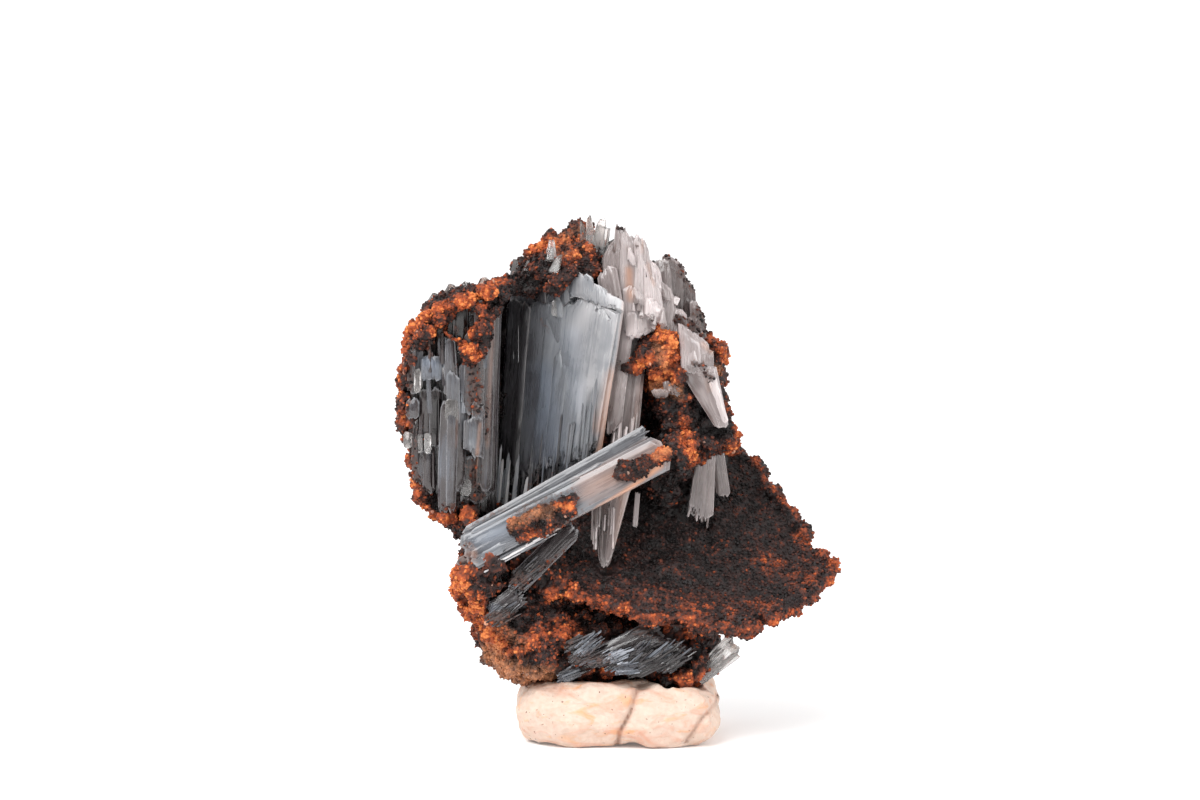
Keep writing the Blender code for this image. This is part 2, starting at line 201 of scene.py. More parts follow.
class Wire:
    """One output of a node, in sums: the other side may be a number, a vector or a second wire."""

    def __init__(self, tree, end=None):
        self.tree = tree
        self.end = end

    def node(self, kind, sockets=(), give="", **settings):
        """Adds a node. Its ramp's stops are rows of a position and a screen colour, the first at 0."""
        made = self.tree.nodes.new(kind)
        for key, value in settings.items():
            if key == "stops":
                ramp = made.color_ramp.elements
                ramp.remove(ramp[1])
                for position, *shade in value:
                    stop = ramp.new(position) if position else ramp[0]
                    stop.color = colour(*shade)
            else:
                setattr(made, key, value)
        open_ones = [s for s in made.inputs if s.enabled]
        for key, value in dict(sockets).items():
            into = open_ones[key] if isinstance(key, int) else next(s for s in open_ones if s.name == key)
            if isinstance(value, Wire):
                self.tree.links.new(value.end, into)
            else:
                into.default_value = value
        outs = [s for s in made.outputs if s.enabled]
        if not outs:
            return made
        return Wire(self.tree, next(s for s in outs if s.name == give) if give else outs[0])

    def field(self, name, give="Fac"):
        """A field of the piece, by its name."""
        return self.node("ShaderNodeAttribute", give=give, attribute_name=name)

    def sum(self, operation, first, second):
        vector = isinstance(second, tuple) or self.end.type == "VECTOR"
        kind = "ShaderNodeVectorMath" if vector else "ShaderNodeMath"
        return self.node(kind, {0: first, 1: second}, operation=operation)

    def __add__(self, other):
        return self.sum("ADD", self, other)

    def __sub__(self, other):
        return self.sum("SUBTRACT", self, other)

    def __rsub__(self, other):
        return self.sum("SUBTRACT", other, self)

    def __mul__(self, other):
        return self.sum("MULTIPLY", self, other)

    __radd__ = __add__
    __rmul__ = __mul__

    def ramp(self, low, high, bottom=0.0, top=1.0):
        """Bottom up to low, top from high on, and even in between."""
        return self.node("ShaderNodeMapRange", {"Value": self, "From Min": low, "From Max": high,
                                                "To Min": bottom, "To Max": top})

    def mixed(self, first, second):
        """This wire, from 0 to 1, goes from the first colour to the second."""
        return self.node("ShaderNodeMix", {"Factor": self, "A": first, "B": second}, data_type="RGBA")


def noise(spot, size, stretch=(1, 1, 1), detail=3.0, roughness=0.5, distortion=0.0):
    """Noise at a spot in millimetres. Its blots are size millimetres, longer along an axis whose stretch is over 1."""
    scaled = spot * tuple(1 / (size * s) for s in stretch)
    return spot.node("ShaderNodeTexNoise", {"Vector": scaled, "Scale": 1.0, "Detail": detail,
                                            "Roughness": roughness, "Distortion": distortion})


def new_finish(name):
    """An empty material and a wire to start its nodes with."""
    made = bpy.data.materials.new(name)
    made.use_nodes = True
    made.node_tree.nodes.clear()
    return made, Wire(made.node_tree)


# %% [markdown]
# ## The barite
# The blades are smoky grey, a little blue where they are clean and nearly black where they
# stand in the crust, with streaks that follow the fibres. Every piece of blade carries fields:
# fibre, its own straight coordinates in millimetres, tone, how light it is, with some painted
# light and shade drawn into it, stain, how much rust has soaked in, soil, how much brown dirt
# sits on it, haze, how blue it is, and edge, where a painted highlight runs along a leaf's rim.
# Painted glints also sit on the brighter streaks. The same nodes serve the smoky, the pale and
# the clear blades.

# %% One finish for all the barite
def barite_finish(name, dark, smoky, middle, pale, through, rough, streaks, outline, glow=0.0):
    """The four shades are screen colours, through is how much light passes, and outline how bright the painted
    highlight on the rims is.
    """
    made, wire = new_finish(name)
    fibre = wire.field("fibre", "Vector")
    tone, stain, soil, edge, haze = (wire.field(key) for key in ("tone", "stain", "soil", "edge", "haze"))
    wide = noise(fibre, 1.1, (1, 1, 7), detail=2)
    streak = noise(fibre, 0.3, (1, 1, 24), detail=3, roughness=0.65)
    hair = noise(fibre, 0.09, (1, 1, 26), detail=2)
    cloud = noise(fibre, 2.6, (1, 1, 1.8), detail=3, distortion=0.6)
    grit = noise(fibre, 0.35, detail=3, roughness=0.6)
    light = (tone + (wide - 0.5) * (0.4 * streaks) + (streak - 0.5) * (0.55 * streaks) + (hair - 0.5) * (0.3 * streaks)
             + (cloud - 0.5) * (0.2 + 0.4 * streaks))
    body = light.node("ShaderNodeValToRGB", {"Fac": light}, stops=[
        (0, *dark), (0.28, *smoky), (0.58, *middle), (0.95, *pale)])
    cool = ((haze * (cloud + wide * 0.5)).ramp(0.2, 0.9) * 0.7).mixed(body, body * (0.89, 1.0, 1.17))
    soaked = (stain + (wide - 0.5) * 0.4 + (streak - 0.5) * 0.4).ramp(0.25, 0.95)
    peach = stain.mixed(colour(150, 104, 80), colour(214, 150, 108))
    painted = (soaked * 0.75).mixed(cool, peach)
    dirt = grit.ramp(0.35, 0.65).mixed(colour(24, 17, 16), colour(92, 54, 40))
    caked = (soil * 1.3 + (grit - 0.5) * 1.6 + (streak - 0.5) * 0.6).ramp(0.42, 0.72)
    muddy = (caked * 0.92).mixed(painted, dirt)
    # painted highlights: a pale rim along each leaf's edge, and pale glints on the brighter streaks
    rim = (edge * (cloud + streak + grit - 0.4)).ramp(0.5, 1.0)
    painted_glint = (hair * 0.5 + streak * 0.5).ramp(0.6, 0.7) * light.ramp(0.3, 0.7)
    bright = (rim * outline + painted_glint * (0.4 * streaks)).mixed(muddy, colour(*pale))
    crack = noise(fibre, 0.9)
    height = (streak * 0.6 + hair * 0.3 + wide * 0.4) * (0.4 + 0.6 * streaks) + crack * 0.25 + caked * grit * 0.8
    bump = wire.node("ShaderNodeBump", {"Height": height, "Distance": 0.00014, "Strength": 0.15 + 0.3 * streaks})
    gloss = (streak + (cloud - 0.5) + caked * 0.6).ramp(0.3, 0.9, rough - 0.1, rough + 0.3)
    shader = wire.node("ShaderNodeBsdfPrincipled", {
        "Base Color": bright, "Roughness": gloss, "Normal": bump, "IOR": 1.64, "Transmission Weight": through,
        "Specular IOR Level": 0.5, "Subsurface Weight": glow, "Subsurface Radius": (0.0009, 0.0008, 0.0008)})
    wire.node("ShaderNodeOutputMaterial", {"Surface": shader})
    return made


finishes = {name: barite_finish(name, *rest) for name, *rest in (
    # name, four shades, light let through, roughness, how streaky and how strong the painted glints, how bright its
    # painted rim highlights, glow
    ("barite", (20, 15, 15), (64, 55, 55), (104, 108, 115), (206, 207, 212), 0.35, 0.2, 0.8, 0.32),
    ("clean_barite", (22, 18, 18), (62, 60, 63), (118, 121, 126), (214, 210, 210), 0.12, 0.26, 0.25, 0.2, 0.25),
    ("pale_barite", (48, 36, 34), (92, 80, 78), (146, 134, 132), (232, 220, 219), 0.4, 0.18, 0.35, 0.35, 0.2),
    ("clear_barite", (140, 132, 128), (176, 170, 166), (206, 202, 200), (248, 245, 243), 0.9, 0.15, 0.4, 0.9),
)}
print("barite finishes:", sorted(finishes))

# %% [markdown]
# ## The crust's finish
# The crust runs from chocolate black through red-brown to orange rust. Three fields steer it:
# rust, painted where the orange patches are, tint, one number a crumb, so that neighbours
# differ, and height, which paints shade into the pits and light onto the knobs. A few crumbs
# get a pale colour, a painted glint.

# %% A finish for the crust
EVEN_TINT = 0.4


def crust_finish():
    """Crust that runs from nearly black, through brown and rust, to orange as heat goes from 0 to 1."""
    made, wire = new_finish("iron_crust")
    spot = wire.node("ShaderNodeTexCoord", give="Object") * PER_MM
    rust, ochre, tint, height = (wire.field(key) for key in ("rust", "ochre", "tint", "height"))
    blot = noise(spot, 1.6, detail=4, roughness=0.6)
    clump = noise(spot + (3, 7, 1), 0.7, detail=2)
    grit = noise(spot, 0.25, detail=2)
    heat = rust + (blot - 0.5) * 1.0 + (clump - 0.5) * 0.9 + (grit - 0.5) * 0.5
    # painted light: knobs are pushed towards the lighter, more orange end of the ramp
    heat = heat + (tint - EVEN_TINT) * 0.6 + height * 0.22
    burnt = heat.node("ShaderNodeValToRGB", {"Fac": heat}, stops=[
        (0, 17, 11, 11), (0.3, 42, 26, 24), (0.48, 82, 42, 30), (0.64, 128, 60, 34), (0.82, 166, 78, 40),
        (1, 208, 122, 66)])
    sandy = (ochre + (blot - 0.5) * 0.8 + (clump - 0.5) * 0.5).ramp(0.25, 0.9)
    earth = (grit * 0.5 + clump * 0.5).ramp(0.3, 0.7).mixed(colour(92, 56, 42), colour(208, 142, 100))
    painted = (sandy * 0.9).mixed(burnt, earth)
    # painted glints: a few crumbs turn pale; painted shade: the pits darken to nearly black
    painted_crumb_glints = (tint.ramp(0.99, 0.992) * 0.6).mixed(painted, colour(168, 140, 126))
    shaded = (height * -0.9).ramp(0.0, 0.8, 0.0, 0.6).mixed(painted_crumb_glints, colour(16, 11, 10))
    bump = wire.node("ShaderNodeBump", {"Height": grit + clump * 0.5, "Distance": 0.0002, "Strength": 0.6})
    rough = (heat * 0.5 + grit).ramp(0.4, 1.0, 0.38, 0.75)
    shader = wire.node("ShaderNodeBsdfPrincipled", {
        "Base Color": shaded, "Roughness": rough, "Normal": bump, "Specular IOR Level": 0.28})
    wire.node("ShaderNodeOutputMaterial", {"Surface": shader})
    return made


finishes["iron_crust"] = crust_finish()

# %% [markdown]
# ## Where things show from the front
# Stains and rust are laid out as on a drawing of the front: millimetres to the right of the
# middle, and millimetres up. A stroke is a line on that drawing with a reach and a strength.

# %% Strokes on the front drawing
LOOK_DOWN = math.radians(7)


def drawn(points):
    """Points in space, in millimetres, as points on the front drawing."""
    up = points[:, 2] * math.cos(LOOK_DOWN) + points[:, 1] * math.sin(LOOK_DOWN)
    return np.stack([points[:, 0], up], axis=1)


def stroked(spots, table):
    """How strongly strokes cover each spot, 0 to 1. A row is a stroke's points, its reach and its strength."""
    cover = np.zeros(len(spots))
    for *path, reach, strength in rows(table):
        line = np.reshape(path, (-1, 2))
        for start, end in zip(line, line[1:]):
            run = end - start
            along = np.clip((spots - start) @ run / (run @ run), 0, 1)
            away = np.linalg.norm(spots - start - along[:, None] * run, axis=1)
            cover = np.maximum(cover, strength * np.exp(-((away / reach) ** 2)))
    return cover


# %% [markdown]
# ## Laths
# The narrow crystals are laths: flat bars with bevelled edges and a broken end. One straight
# bar a millimetre each way is modelled, and each lath is a copy of it, stretched and
# laid between its foot and its tip. Three bars with different ends keep them from looking
# alike. A shard is a shorter, more broken crystal with none of its faces square.

# %% Bars to copy, and shards
def pick_edges(obj, wanted):
    """Goes in edit mode with just the edges selected whose two ends pass the test."""
    edit_mode(True, "DESELECT")
    edit_mode(False)
    for edge in obj.data.edges:
        edge.select = wanted(*(obj.data.vertices[v].co for v in edge.vertices))
    edit_mode(True)


def bar(name, steps, taper):
    """A bar with its top broken in steps, one for each quarter of its width."""
    bpy.ops.mesh.primitive_cube_add(size=1)
    made = bpy.context.object
    made.name = name
    pick_edges(made, lambda one, other: abs(one.x - other.x) > 0.5)
    bpy.ops.mesh.select_mode(type="EDGE")
    bpy.ops.mesh.subdivide(number_cuts=len(steps) - 2)
    pick_edges(made, lambda one, other: abs(one.z - other.z) > 0.5 and abs(one.x) > 0.49)
    bpy.ops.mesh.bevel(offset=0.16, segments=2, affect="EDGES")
    edit_mode(False)
    for vert in made.data.vertices:
        where = (vert.co.x + 0.5) * (len(steps) - 1)
        low = min(int(where), len(steps) - 2)
        drop = steps[low] + (steps[low + 1] - steps[low]) * (where - low)
        if vert.co.z > 0:
            vert.co.z -= drop
            vert.co.x *= taper
            vert.co.y *= 0.9 - vert.co.y * 0.3
        else:
            vert.co.z += steps[-1 - low] * 0.7
            vert.co.x *= 0.94
    return made


BARS = [
    bar("chisel", (0.09, 0.03, 0.0, 0.02, 0.06), 0.86),
    bar("snapped", (0.01, 0.05, 0.02, 0.08, 0.04), 0.95),
    bar("pointed", (0.12, 0.05, 0.0, 0.04, 0.1), 0.55),
]


def laid(made, foot, tip, width, thick, facing, tone, seed):
    """Stretches a bar a millimetre each way and lays it from foot to tip, its broad side towards facing."""
    foot, tip = Vector(foot), Vector(tip)
    along = (tip - foot).normalized()
    across = along.cross(facing).normalized()
    points = places(made) * MM * (width, thick, (tip - foot).length)
    write_field(made, "fibre", points + (seed * 7.3, 0, 0))
    write_field(made, "tone", np.full(len(points), tone))
    turn = np.array((across, -along.cross(across), along))
    write_places(made, points @ turn + np.array((foot + tip) / 2))
    return made


def lath(foot, tip, width, thick, facing=FRONT, tone=0.5, seed=0, kind=0):
    """A copy of a bar, laid from foot to tip. Sizes in millimetres."""
    return laid(linked("lath", BARS[kind].data), foot, tip, width, thick, facing, tone, seed)


def shard(foot, tip, width, thick, facing=FRONT, tone=0.8, seed=0, keen=0.35):
    """A broken crystal: every corner is a little off, and the top narrows to a slanting edge keen times as wide."""
    roll = random.Random(seed)
    bpy.ops.mesh.primitive_cube_add(size=1)
    made = bpy.context.object
    slide = roll.uniform(-0.3, 0.3)
    for vert in made.data.vertices:
        on_top = vert.co.z > 0
        vert.co.x = vert.co.x * (keen if on_top else 1) * roll.uniform(0.8, 1.2) + slide * on_top
        vert.co.y *= (0.45 if on_top else 1) * roll.uniform(0.7, 1.2)
        vert.co.z -= roll.uniform(0.0, 0.32) * on_top
    edit_mode(True, "SELECT")
    bpy.ops.mesh.bevel(offset=0.06, segments=1, affect="EDGES")
    edit_mode(False)
    return laid(made, foot, tip, width, thick, facing, tone, seed)


def turned_out(obj):
    """Sees to it that the faces point outwards."""
    only(obj)
    edit_mode(True, "SELECT")
    bpy.ops.mesh.normals_make_consistent(inside=False)
    edit_mode(False)
    return obj


# %% [markdown]
# ## Leaves
# A broad blade is a stack of thin cleaved leaves. A leaf starts as a flat grid. Noise stretched
# along the fibres breaks its ends into splinters and draws ridges and grooves on its face,
# Solidify gives it a thickness that thins out to its edges, and a cage of eight corners bends
# it into its place between two border lines.

# %% The grain of the noise
def grain_texture(name, size, depth=1, basis="BLENDER_ORIGINAL"):
    """Noise whose blots are size millimetres, with depth finer layers in it."""
    made = bpy.data.textures.new(name, "CLOUDS")
    made.noise_scale = size * MM
    made.noise_depth = depth
    made.noise_basis = basis
    return made


BREAKS = grain_texture("breaks", 1.5, depth=3)
SPLINTERS = grain_texture("splinters", 0.28, depth=3)
STEPS = grain_texture("steps", 1.7, depth=0, basis="CELL_NOISE")
RIDGES = grain_texture("ridges", 0.8, depth=2)
FIBRES = grain_texture("fibres", 0.2, depth=2)
CHIPS = grain_texture("chips", 0.9, depth=3)
SWELL = grain_texture("swell", 3.5)
END_STRETCH = 400
FACE_STRETCH = 30
CHIP_STRETCH = 2.5
CAGE_ROOM = 2.0
bpy.ops.object.empty_add()
grain_guide = bpy.context.object
grain_guide.name = "grain_guide"


def guide_grain(seed, stretch):
    """Sets the empty that the noise follows: a new place for each seed, stretched along the fibres."""
    grain_guide.location = (seed * 0.0137, seed * 0.011, seed * 0.0071)
    grain_guide.scale = (1, stretch, 1)
    bpy.context.view_layer.update()


def weigh(obj, name, share):
    """A vertex group that is each point's share, kept between 0 and 1."""
    group = obj.vertex_groups.new(name=name)
    for index, weight in enumerate(np.clip(share, 0, 1)):
        group.add([index], float(weight), "REPLACE")


def pushed(obj, texture, strength, direction="Z", mid_level=0.5, **settings):
    """Pushes a flat piece's points by strength millimetres times the texture."""
    if strength:
        finish_step(obj, "DISPLACE", texture=texture, direction=direction, strength=strength * MM,
                    mid_level=mid_level, texture_coords="OBJECT", texture_coords_object=grain_guide, **settings)


# %% Bending a flat piece into its place
def place_in_cage(obj, size, corner):
    """Bends a straight piece by a cage of eight corners: corner(u, v, w) says where each of them goes."""
    bpy.ops.object.add(type="LATTICE", location=(0, 0, 0))
    cage = bpy.context.object
    cage.scale = [s * MM for s in size]
    for way in "uvw":
        setattr(cage.data, "points_" + way, 2)
        setattr(cage.data, "interpolation_type_" + way, "KEY_LINEAR")
    for point in cage.data.points:
        target = corner(*(c * s for c, s in zip(point.co, size)))
        point.co_deform = [t / s for t, s in zip(target, size)]
    bpy.context.view_layer.update()
    finish_step(obj, "LATTICE", object=cage)
    bpy.data.objects.remove(cage, do_unlink=True)
    return obj


def borders(foot, tip, width, facing=FRONT):
    """The two border lines of a straight blade whose face looks towards facing."""
    foot, tip = Vector(foot), Vector(tip)
    across = (tip - foot).cross(Vector(facing)).normalized() * width / 2
    return (foot - across, tip - across), (foot + across, tip + across)


def at(x, up, y):
    """The point at depth y that shows at x and up on the front drawing."""
    return Vector((x, y, (up - y * math.sin(LOOK_DOWN)) / math.cos(LOOK_DOWN)))


# %% A leaf
def leaf(left, right, thick, seed, span=(0.0, 1.0), lift=0.0, relief=0.15, ragged=(0.8, 0.8), frayed=(0.3, 0.3),
         step=0.05, tone=0.5, column=0.1, row=0.6, swell=0.25, trim=(0.0, 0.0), belly=0.0, rounded=0.0):
    """One cleaved leaf between two border lines, each a foot and a tip, all in millimetres.

    span is the share of the width that it covers, lift its height over the borders' plane, ragged how deeply its
    foot and tip are broken, frayed how far their fibres stick out, and trim how far they stop short of the borders.
    relief, step and swell are the heights of its ridges, steps and bulges, and column and row the size of its faces.
    belly widens its middle, and rounded is how far from an end its corners start to round off."""
    feet = [Vector(left[0]).lerp(Vector(right[0]), s) for s in span]
    tips = [Vector(left[1]).lerp(Vector(right[1]), s) for s in span]
    up = ((tips[0] - feet[0]).normalized() + (tips[1] - feet[1]).normalized()).normalized()
    feet = [f + up * trim[0] for f in feet]
    tips = [t - up * trim[1] for t in tips]
    width = ((feet[1] - feet[0]).length + (tips[1] - tips[0]).length) / 2
    length = ((tips[0] - feet[0]).length + (tips[1] - feet[1]).length) / 2
    normal = (feet[1] - feet[0] + tips[1] - tips[0]).cross(up).normalized()
    bpy.ops.mesh.primitive_grid_add(x_subdivisions=max(4, round(width / column)),
                                    y_subdivisions=max(6, round(length / row)), size=1)
    made = bpy.context.object
    edit_mode(True, "SELECT")
    bpy.ops.transform.resize(value=(width * MM, length * MM, 1))
    edit_mode(False)
    spots = places(made)
    to_side = width / 2 - np.abs(spots[:, 0])
    to_end = length / 2 - np.abs(spots[:, 1])
    reach = min(4.0, length * 0.4)
    weigh(made, "foot", 1 - (spots[:, 1] + length / 2) / reach)
    weigh(made, "tip", 1 - (length / 2 - spots[:, 1]) / reach)
    # edge marks the rims, where the finish paints a highlight
    write_field(made, "edge", np.maximum(np.exp(-to_side / 0.1), np.exp(-to_end / 0.25)))
    weigh(made, "body", 0.25 + 0.75 * np.minimum(to_side / min(0.5, width * 0.3), to_end))
    spots[:, 0] *= 1 + belly * (1 - (2 * spots[:, 1] / length) ** 2)
    spots[:, 0] *= np.sqrt(1 - 0.7 * np.clip(1 - to_end / max(rounded, 1e-3), 0, 1) ** 2)
    write_places(made, spots)
    for group, way, depth, fray in (("tip", -1, ragged[1], frayed[1]), ("foot", 1, ragged[0], frayed[0])):
        guide_grain(seed + (way > 0) * 0.37, END_STRETCH)
        pushed(made, BREAKS, way * 1.8 * depth, "Y", vertex_group=group, mid_level=0.2)
        pushed(made, SPLINTERS, way * 2.0 * fray, "Y", vertex_group=group, mid_level=0.2)
    guide_grain(seed, FACE_STRETCH)
    pushed(made, STEPS, step)
    pushed(made, RIDGES, relief)
    pushed(made, FIBRES, relief * 0.35)
    guide_grain(seed, CHIP_STRETCH)
    pushed(made, CHIPS, relief)
    pushed(made, SWELL, swell)
    finish_step(made, "SOLIDIFY", thickness=thick * MM, offset=0.0, vertex_group="body", thickness_vertex_group=0.1)
    made.vertex_groups.clear()
    points = places(made)
    write_field(made, "fibre", points[:, [0, 2, 1]] + (seed * 5.9, 0, 0))
    write_field(made, "tone", np.full(len(points), tone))

    def corner(u, v, w):
        s, t = u / width + 0.5, v / length + 0.5
        foot = feet[0] + (feet[1] - feet[0]) * s
        tip = tips[0] + (tips[1] - tips[0]) * s
        return foot + (tip - foot) * t + normal * (w + lift)

    size = (width + CAGE_ROOM, length + 2 * max(ragged) + CAGE_ROOM, thick + CAGE_ROOM)
    return place_in_cage(made, size, corner)


def wedge(left_foot, right_foot, up_foot, left_tip, right_tip, left_up, right_up, y, thick, turn, tone, seed,
          lean=0.4, **settings):
    """A leaf whose sides run together, between a foot and a tip on the front drawing, at depth y.

    turn swings its right side back, and lean is how far the tip lies behind the foot."""
    half = turn * (right_foot - left_foot) / 2
    left = at(left_foot, up_foot, y - half), at(left_tip, left_up, y - half * 0.6 + lean)
    right = at(right_foot, up_foot, y + half), at(right_tip, right_up, y + half * 0.6 + lean)
    settings = {"relief": 0.1, "ragged": (0.6, 0.6), "frayed": (0.2, 0.25), "swell": 0.5, **settings}
    return leaf(left, right, thick, seed, tone=tone, **settings)


def wedges(table, seed, **settings):
    """A wedge for each row of the table."""
    return [wedge(*row, seed + i, **settings) for i, row in enumerate(rows(table))]


# %% Dressing a piece, and drawing its fields
def dressed(obj, slot, *nodes, finish=None):
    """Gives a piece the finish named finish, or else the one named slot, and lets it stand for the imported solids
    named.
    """
    obj.data.materials.clear()
    obj.data.materials.append(finishes[finish or slot])
    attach(obj, "root")
    if nodes:
        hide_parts(*nodes)
    print(obj.name, len(obj.data.polygons), "faces")
    return obj


def grown(name, parts, slot, *nodes, finish=None, lighter="", darker="", **fields):
    """Joins a blade's parts, dresses it, and draws its fields: each a table of strokes, or one number all over."""
    blade = dressed(turned_out(joined(name, parts)), slot, *nodes, finish=finish)
    spots = drawn(places(blade))
    write_field(blade, "tone", read_field(blade, "tone") + stroked(spots, lighter) - stroked(spots, darker))
    for key, drawing in fields.items():
        even = not isinstance(drawing, str)
        write_field(blade, key, np.full(len(spots), drawing) if even else stroked(spots, drawing))
    return blade


# %% [markdown]
# ## The stack on the left
# Plates stand on edge here, so the front shows a row of narrow fins with black grooves between
# them. Behind, they are laths set close together, each a little nearer or farther than the
# last. Leaves that face the front lie over their edges, each turned a little its own way.

# %% The plates of the left stack
chance = random.Random(4)
between = chance.uniform
PLATES = 17
FOOT_LINE = [Vector((-20.3, 0.4, 28.4)), Vector((-16.8, 0, 22.6)), Vector((-12.4, 0.2, 21.8))]
TIP_LINE = [Vector((-20.2, 0.6, 39.4)), Vector((-11.7, 0.4, 44.8))]
fins = []
for i in range(PLATES):
    t = i / (PLATES - 1)
    foot = FOOT_LINE[0].lerp(FOOT_LINE[1], t * 2) if t < 0.5 else FOOT_LINE[1].lerp(FOOT_LINE[2], t * 2 - 1)
    tip = TIP_LINE[0].lerp(TIP_LINE[1], t)
    tip.z += 1.2 * math.sin(math.pi * t) - between(0, 0.5)
    back = Vector((0, between(-0.1, 1) + max(0, t - 0.84) * 16, 0))
    fins.append(lath(foot + back, tip + back, 6.6, between(0.5, 1), RIGHT,
                     tone=between(0, 0.35), seed=i, kind=i % 2))
# the plates that face the front: a wedge's corners, depth, thickness, turn and tone, and its belly
FACES = """
    -20.9 -19.3 33.6 -20.6 -19.2 39.6 40 -3.1 0.6 -0.3 0.26 0
    -19.9 -18.2 38.2 -19.6 -18 41.8 42.2 -3 0.6 0.2 0.2 0
    -19.4 -17.2 34.7 -19.3 -17.3 38.6 38.9 -3.8 0.6 0.1 0.52 0.05
    -19.8 -18.6 29 -19.5 -18.5 35.6 35.2 -3.3 0.6 -0.2 0.22 0
    -18.7 -17.2 28.4 -18.6 -17.4 35.2 35.6 -3.5 0.6 0.3 0.16 0
    -21 -19.7 31 -20.9 -19.6 34.4 34.1 -3.5 0.6 -0.2 0.46 0
    -20.2 -19.2 24.8 -20.5 -19.3 29.4 29 -3.2 0.6 -0.3 0.34 0
    -19.3 -18.1 23.6 -19.5 -18.3 29.8 29.2 -3.4 0.6 0.1 0.3 0
    -17.2 -15.7 33.2 -17 -16.1 40 40.4 -4.1 0.6 0.15 0.34 0.03
    -16.9 -15.6 30 -16.8 -15.6 37 36.8 -4.3 0.6 -0.2 0.38 0
    -17.8 -16.7 21.6 -17.4 -16.3 33.9 34 -4.4 0.6 -0.35 0.34 0.3
    -17 -16.1 22 -16.8 -15.8 33.4 33 -4.6 0.6 0.3 0.34 0.12
    -16.5 -15.2 24 -16.2 -15 34.4 33.8 -4.1 0.6 0.4 0.3 0
    -15.3 -13.4 27.9 -15.2 -13.3 32.8 32.5 -4.4 0.6 0.15 0.36 0
    -14.5 -13.3 27 -14.4 -13.1 34.4 33.8 -4.1 0.6 0.3 0.4 0
    -15.3 -13.2 31.6 -15.1 -13.1 40.8 41.2 -4 0.6 0 0.3 0
    -15.6 -12.9 22.6 -15.5 -12.9 28.4 28.8 -3.5 0.6 0.3 0.12 0
    -16.3 -14.9 37.6 -16.2 -14.8 43.6 44 -3.3 0.6 0.1 0.1 0
    -13.7 -12.6 24 -13.3 -12.1 44.4 45 -3.4 0.6 0.5 0.3 0
    -12.9 -12.2 23.4 -12.6 -11.4 44.6 45.4 -2.6 0.6 0.9 0.22 0
    -14.2 -13.4 40.2 -14 -13 44 44.2 -3.8 0.6 0.2 0.32 0"""
for i, (*row, belly) in enumerate(rows(FACES)):
    fins.append(wedge(*row, 100 + i, lean=0, relief=0.12, ragged=(0.8, 0.6), frayed=(0.7, 0.5), step=0.1, swell=0.4,
                      belly=belly, rounded=0.4))
for i in range(34):
    x = between(-20.3, -13)
    low = between(23.5 if x > -18.5 else 27, 38)
    long = between(1.5, 5)
    fins.append(shard(at(x, low, -3.8 - between(0, 0.4)), at(x + between(-0.2, 0.3), low + long, -3.8),
                      between(0.2, 0.7), 0.4, Vector((between(-0.6, 0.6), -1, 0)),
                      between(0.1, 0.7), 200 + i, 0.8))
stack_plates = grown(
    "stack_plates", fins, "barite", "left_stack",
    lighter="""
    -18.8 37.8 -18 36.2 1 0.04 | -17.4 29.4 -17.2 26.6 0.9 0.16 | -14.6 31.6 -14.4 29.4 0.8 0.12
    -16.4 31.5 -16.3 33 0.6 0.1""",
    darker="-18 34 -17.6 30 0.7 0.12 | -14.6 27 -14 23.6 1.2 0.2 | -15.6 43.6 -15.5 41 0.7 0.2",
    haze="-18.8 37.8 -18 36 1.2 1 | -17.4 30 -17.2 24 1 0.8",
    soil="""
    -13.8 43.8 -14 40.8 0.7 0.85 | -14.5 40.2 -14.2 37.6 -14.1 32.8 0.75 0.95 | -20.4 42 -18.6 39 0.9 0.8
    -21.2 38.4 -21 35 0.8 0.85 | -20.9 34.4 -21.2 30.2 0.5 0.8 | -20.6 31.3 -19.6 31.1 0.4 0.85
    -17.8 40.9 -16.4 40.6 0.7 0.75 | -16.8 36.9 -15.6 36.9 0.25 0.6 | -12.9 33.8 -13 29.6 0.35 0.6
    -14.4 27.2 -13.9 24 0.9 0.6 | -20.8 28 -19.9 25.4 -18.6 23.4 0.6 0.85 | -16.9 22.9 -14.2 22.6 0.7 0.8""",
    stain="""
    -12.2 44 -12.6 36 -12.9 29 0.45 0.42 | -13.6 31.4 -13.9 28.2 0.3 0.6 | -15.8 32.4 -16 29 0.3 0.4
    -18.4 34 -18.2 30 0.9 0.26 | -14.4 27 -14 24 1 0.2""")

# %% [markdown]
# ## The broad blade
# Several leaves of different widths overlap to make the broad blade, so that its face falls
# away in low steps to the left, and its lower end frays. Thin slivers lie on its face, and
# chips lean against its head.

# %% The leaves of the broad blade
BROAD = (((-12, 5.6, 21.6), (-10.4, 6, 46.6)), ((-2, -3.6, 27.4), (0.8, -2.8, 44.5)))
leaves = [
    leaf(*BROAD, 1.3, 1, (0, 1), 0, 0.06, (1.6, 1.2), (1.2, 0.6), 0.06, 0.5, trim=(0.2, 0)),
    leaf(*BROAD, 0.7, 2, (0.36, 1), 0.7, 0.015, (1.2, 1.6), (1.8, 0.5), 0, 0.6, trim=(0.8, 0.3), swell=0.3,
         column=0.08),
    leaf(*BROAD, 0.5, 3, (0.2, 0.56), 0.75, 0.03, (2, 1.2), (2.4, 0.5), 0.02, 0.54, trim=(0.4, 1.6), swell=0.4),
    leaf(*BROAD, 0.7, 5, (0.03, 0.24), 1, 0.14, (2, 1.2), (1.5, 0.5), 0.1, 0.36, trim=(1, 2)),
    leaf(*BROAD, 0.35, 6, (0.5, 0.66), 1, 0.03, (3, 2.4), (3, 0.8), 0.02, 0.58, trim=(0, 5.4)),
]
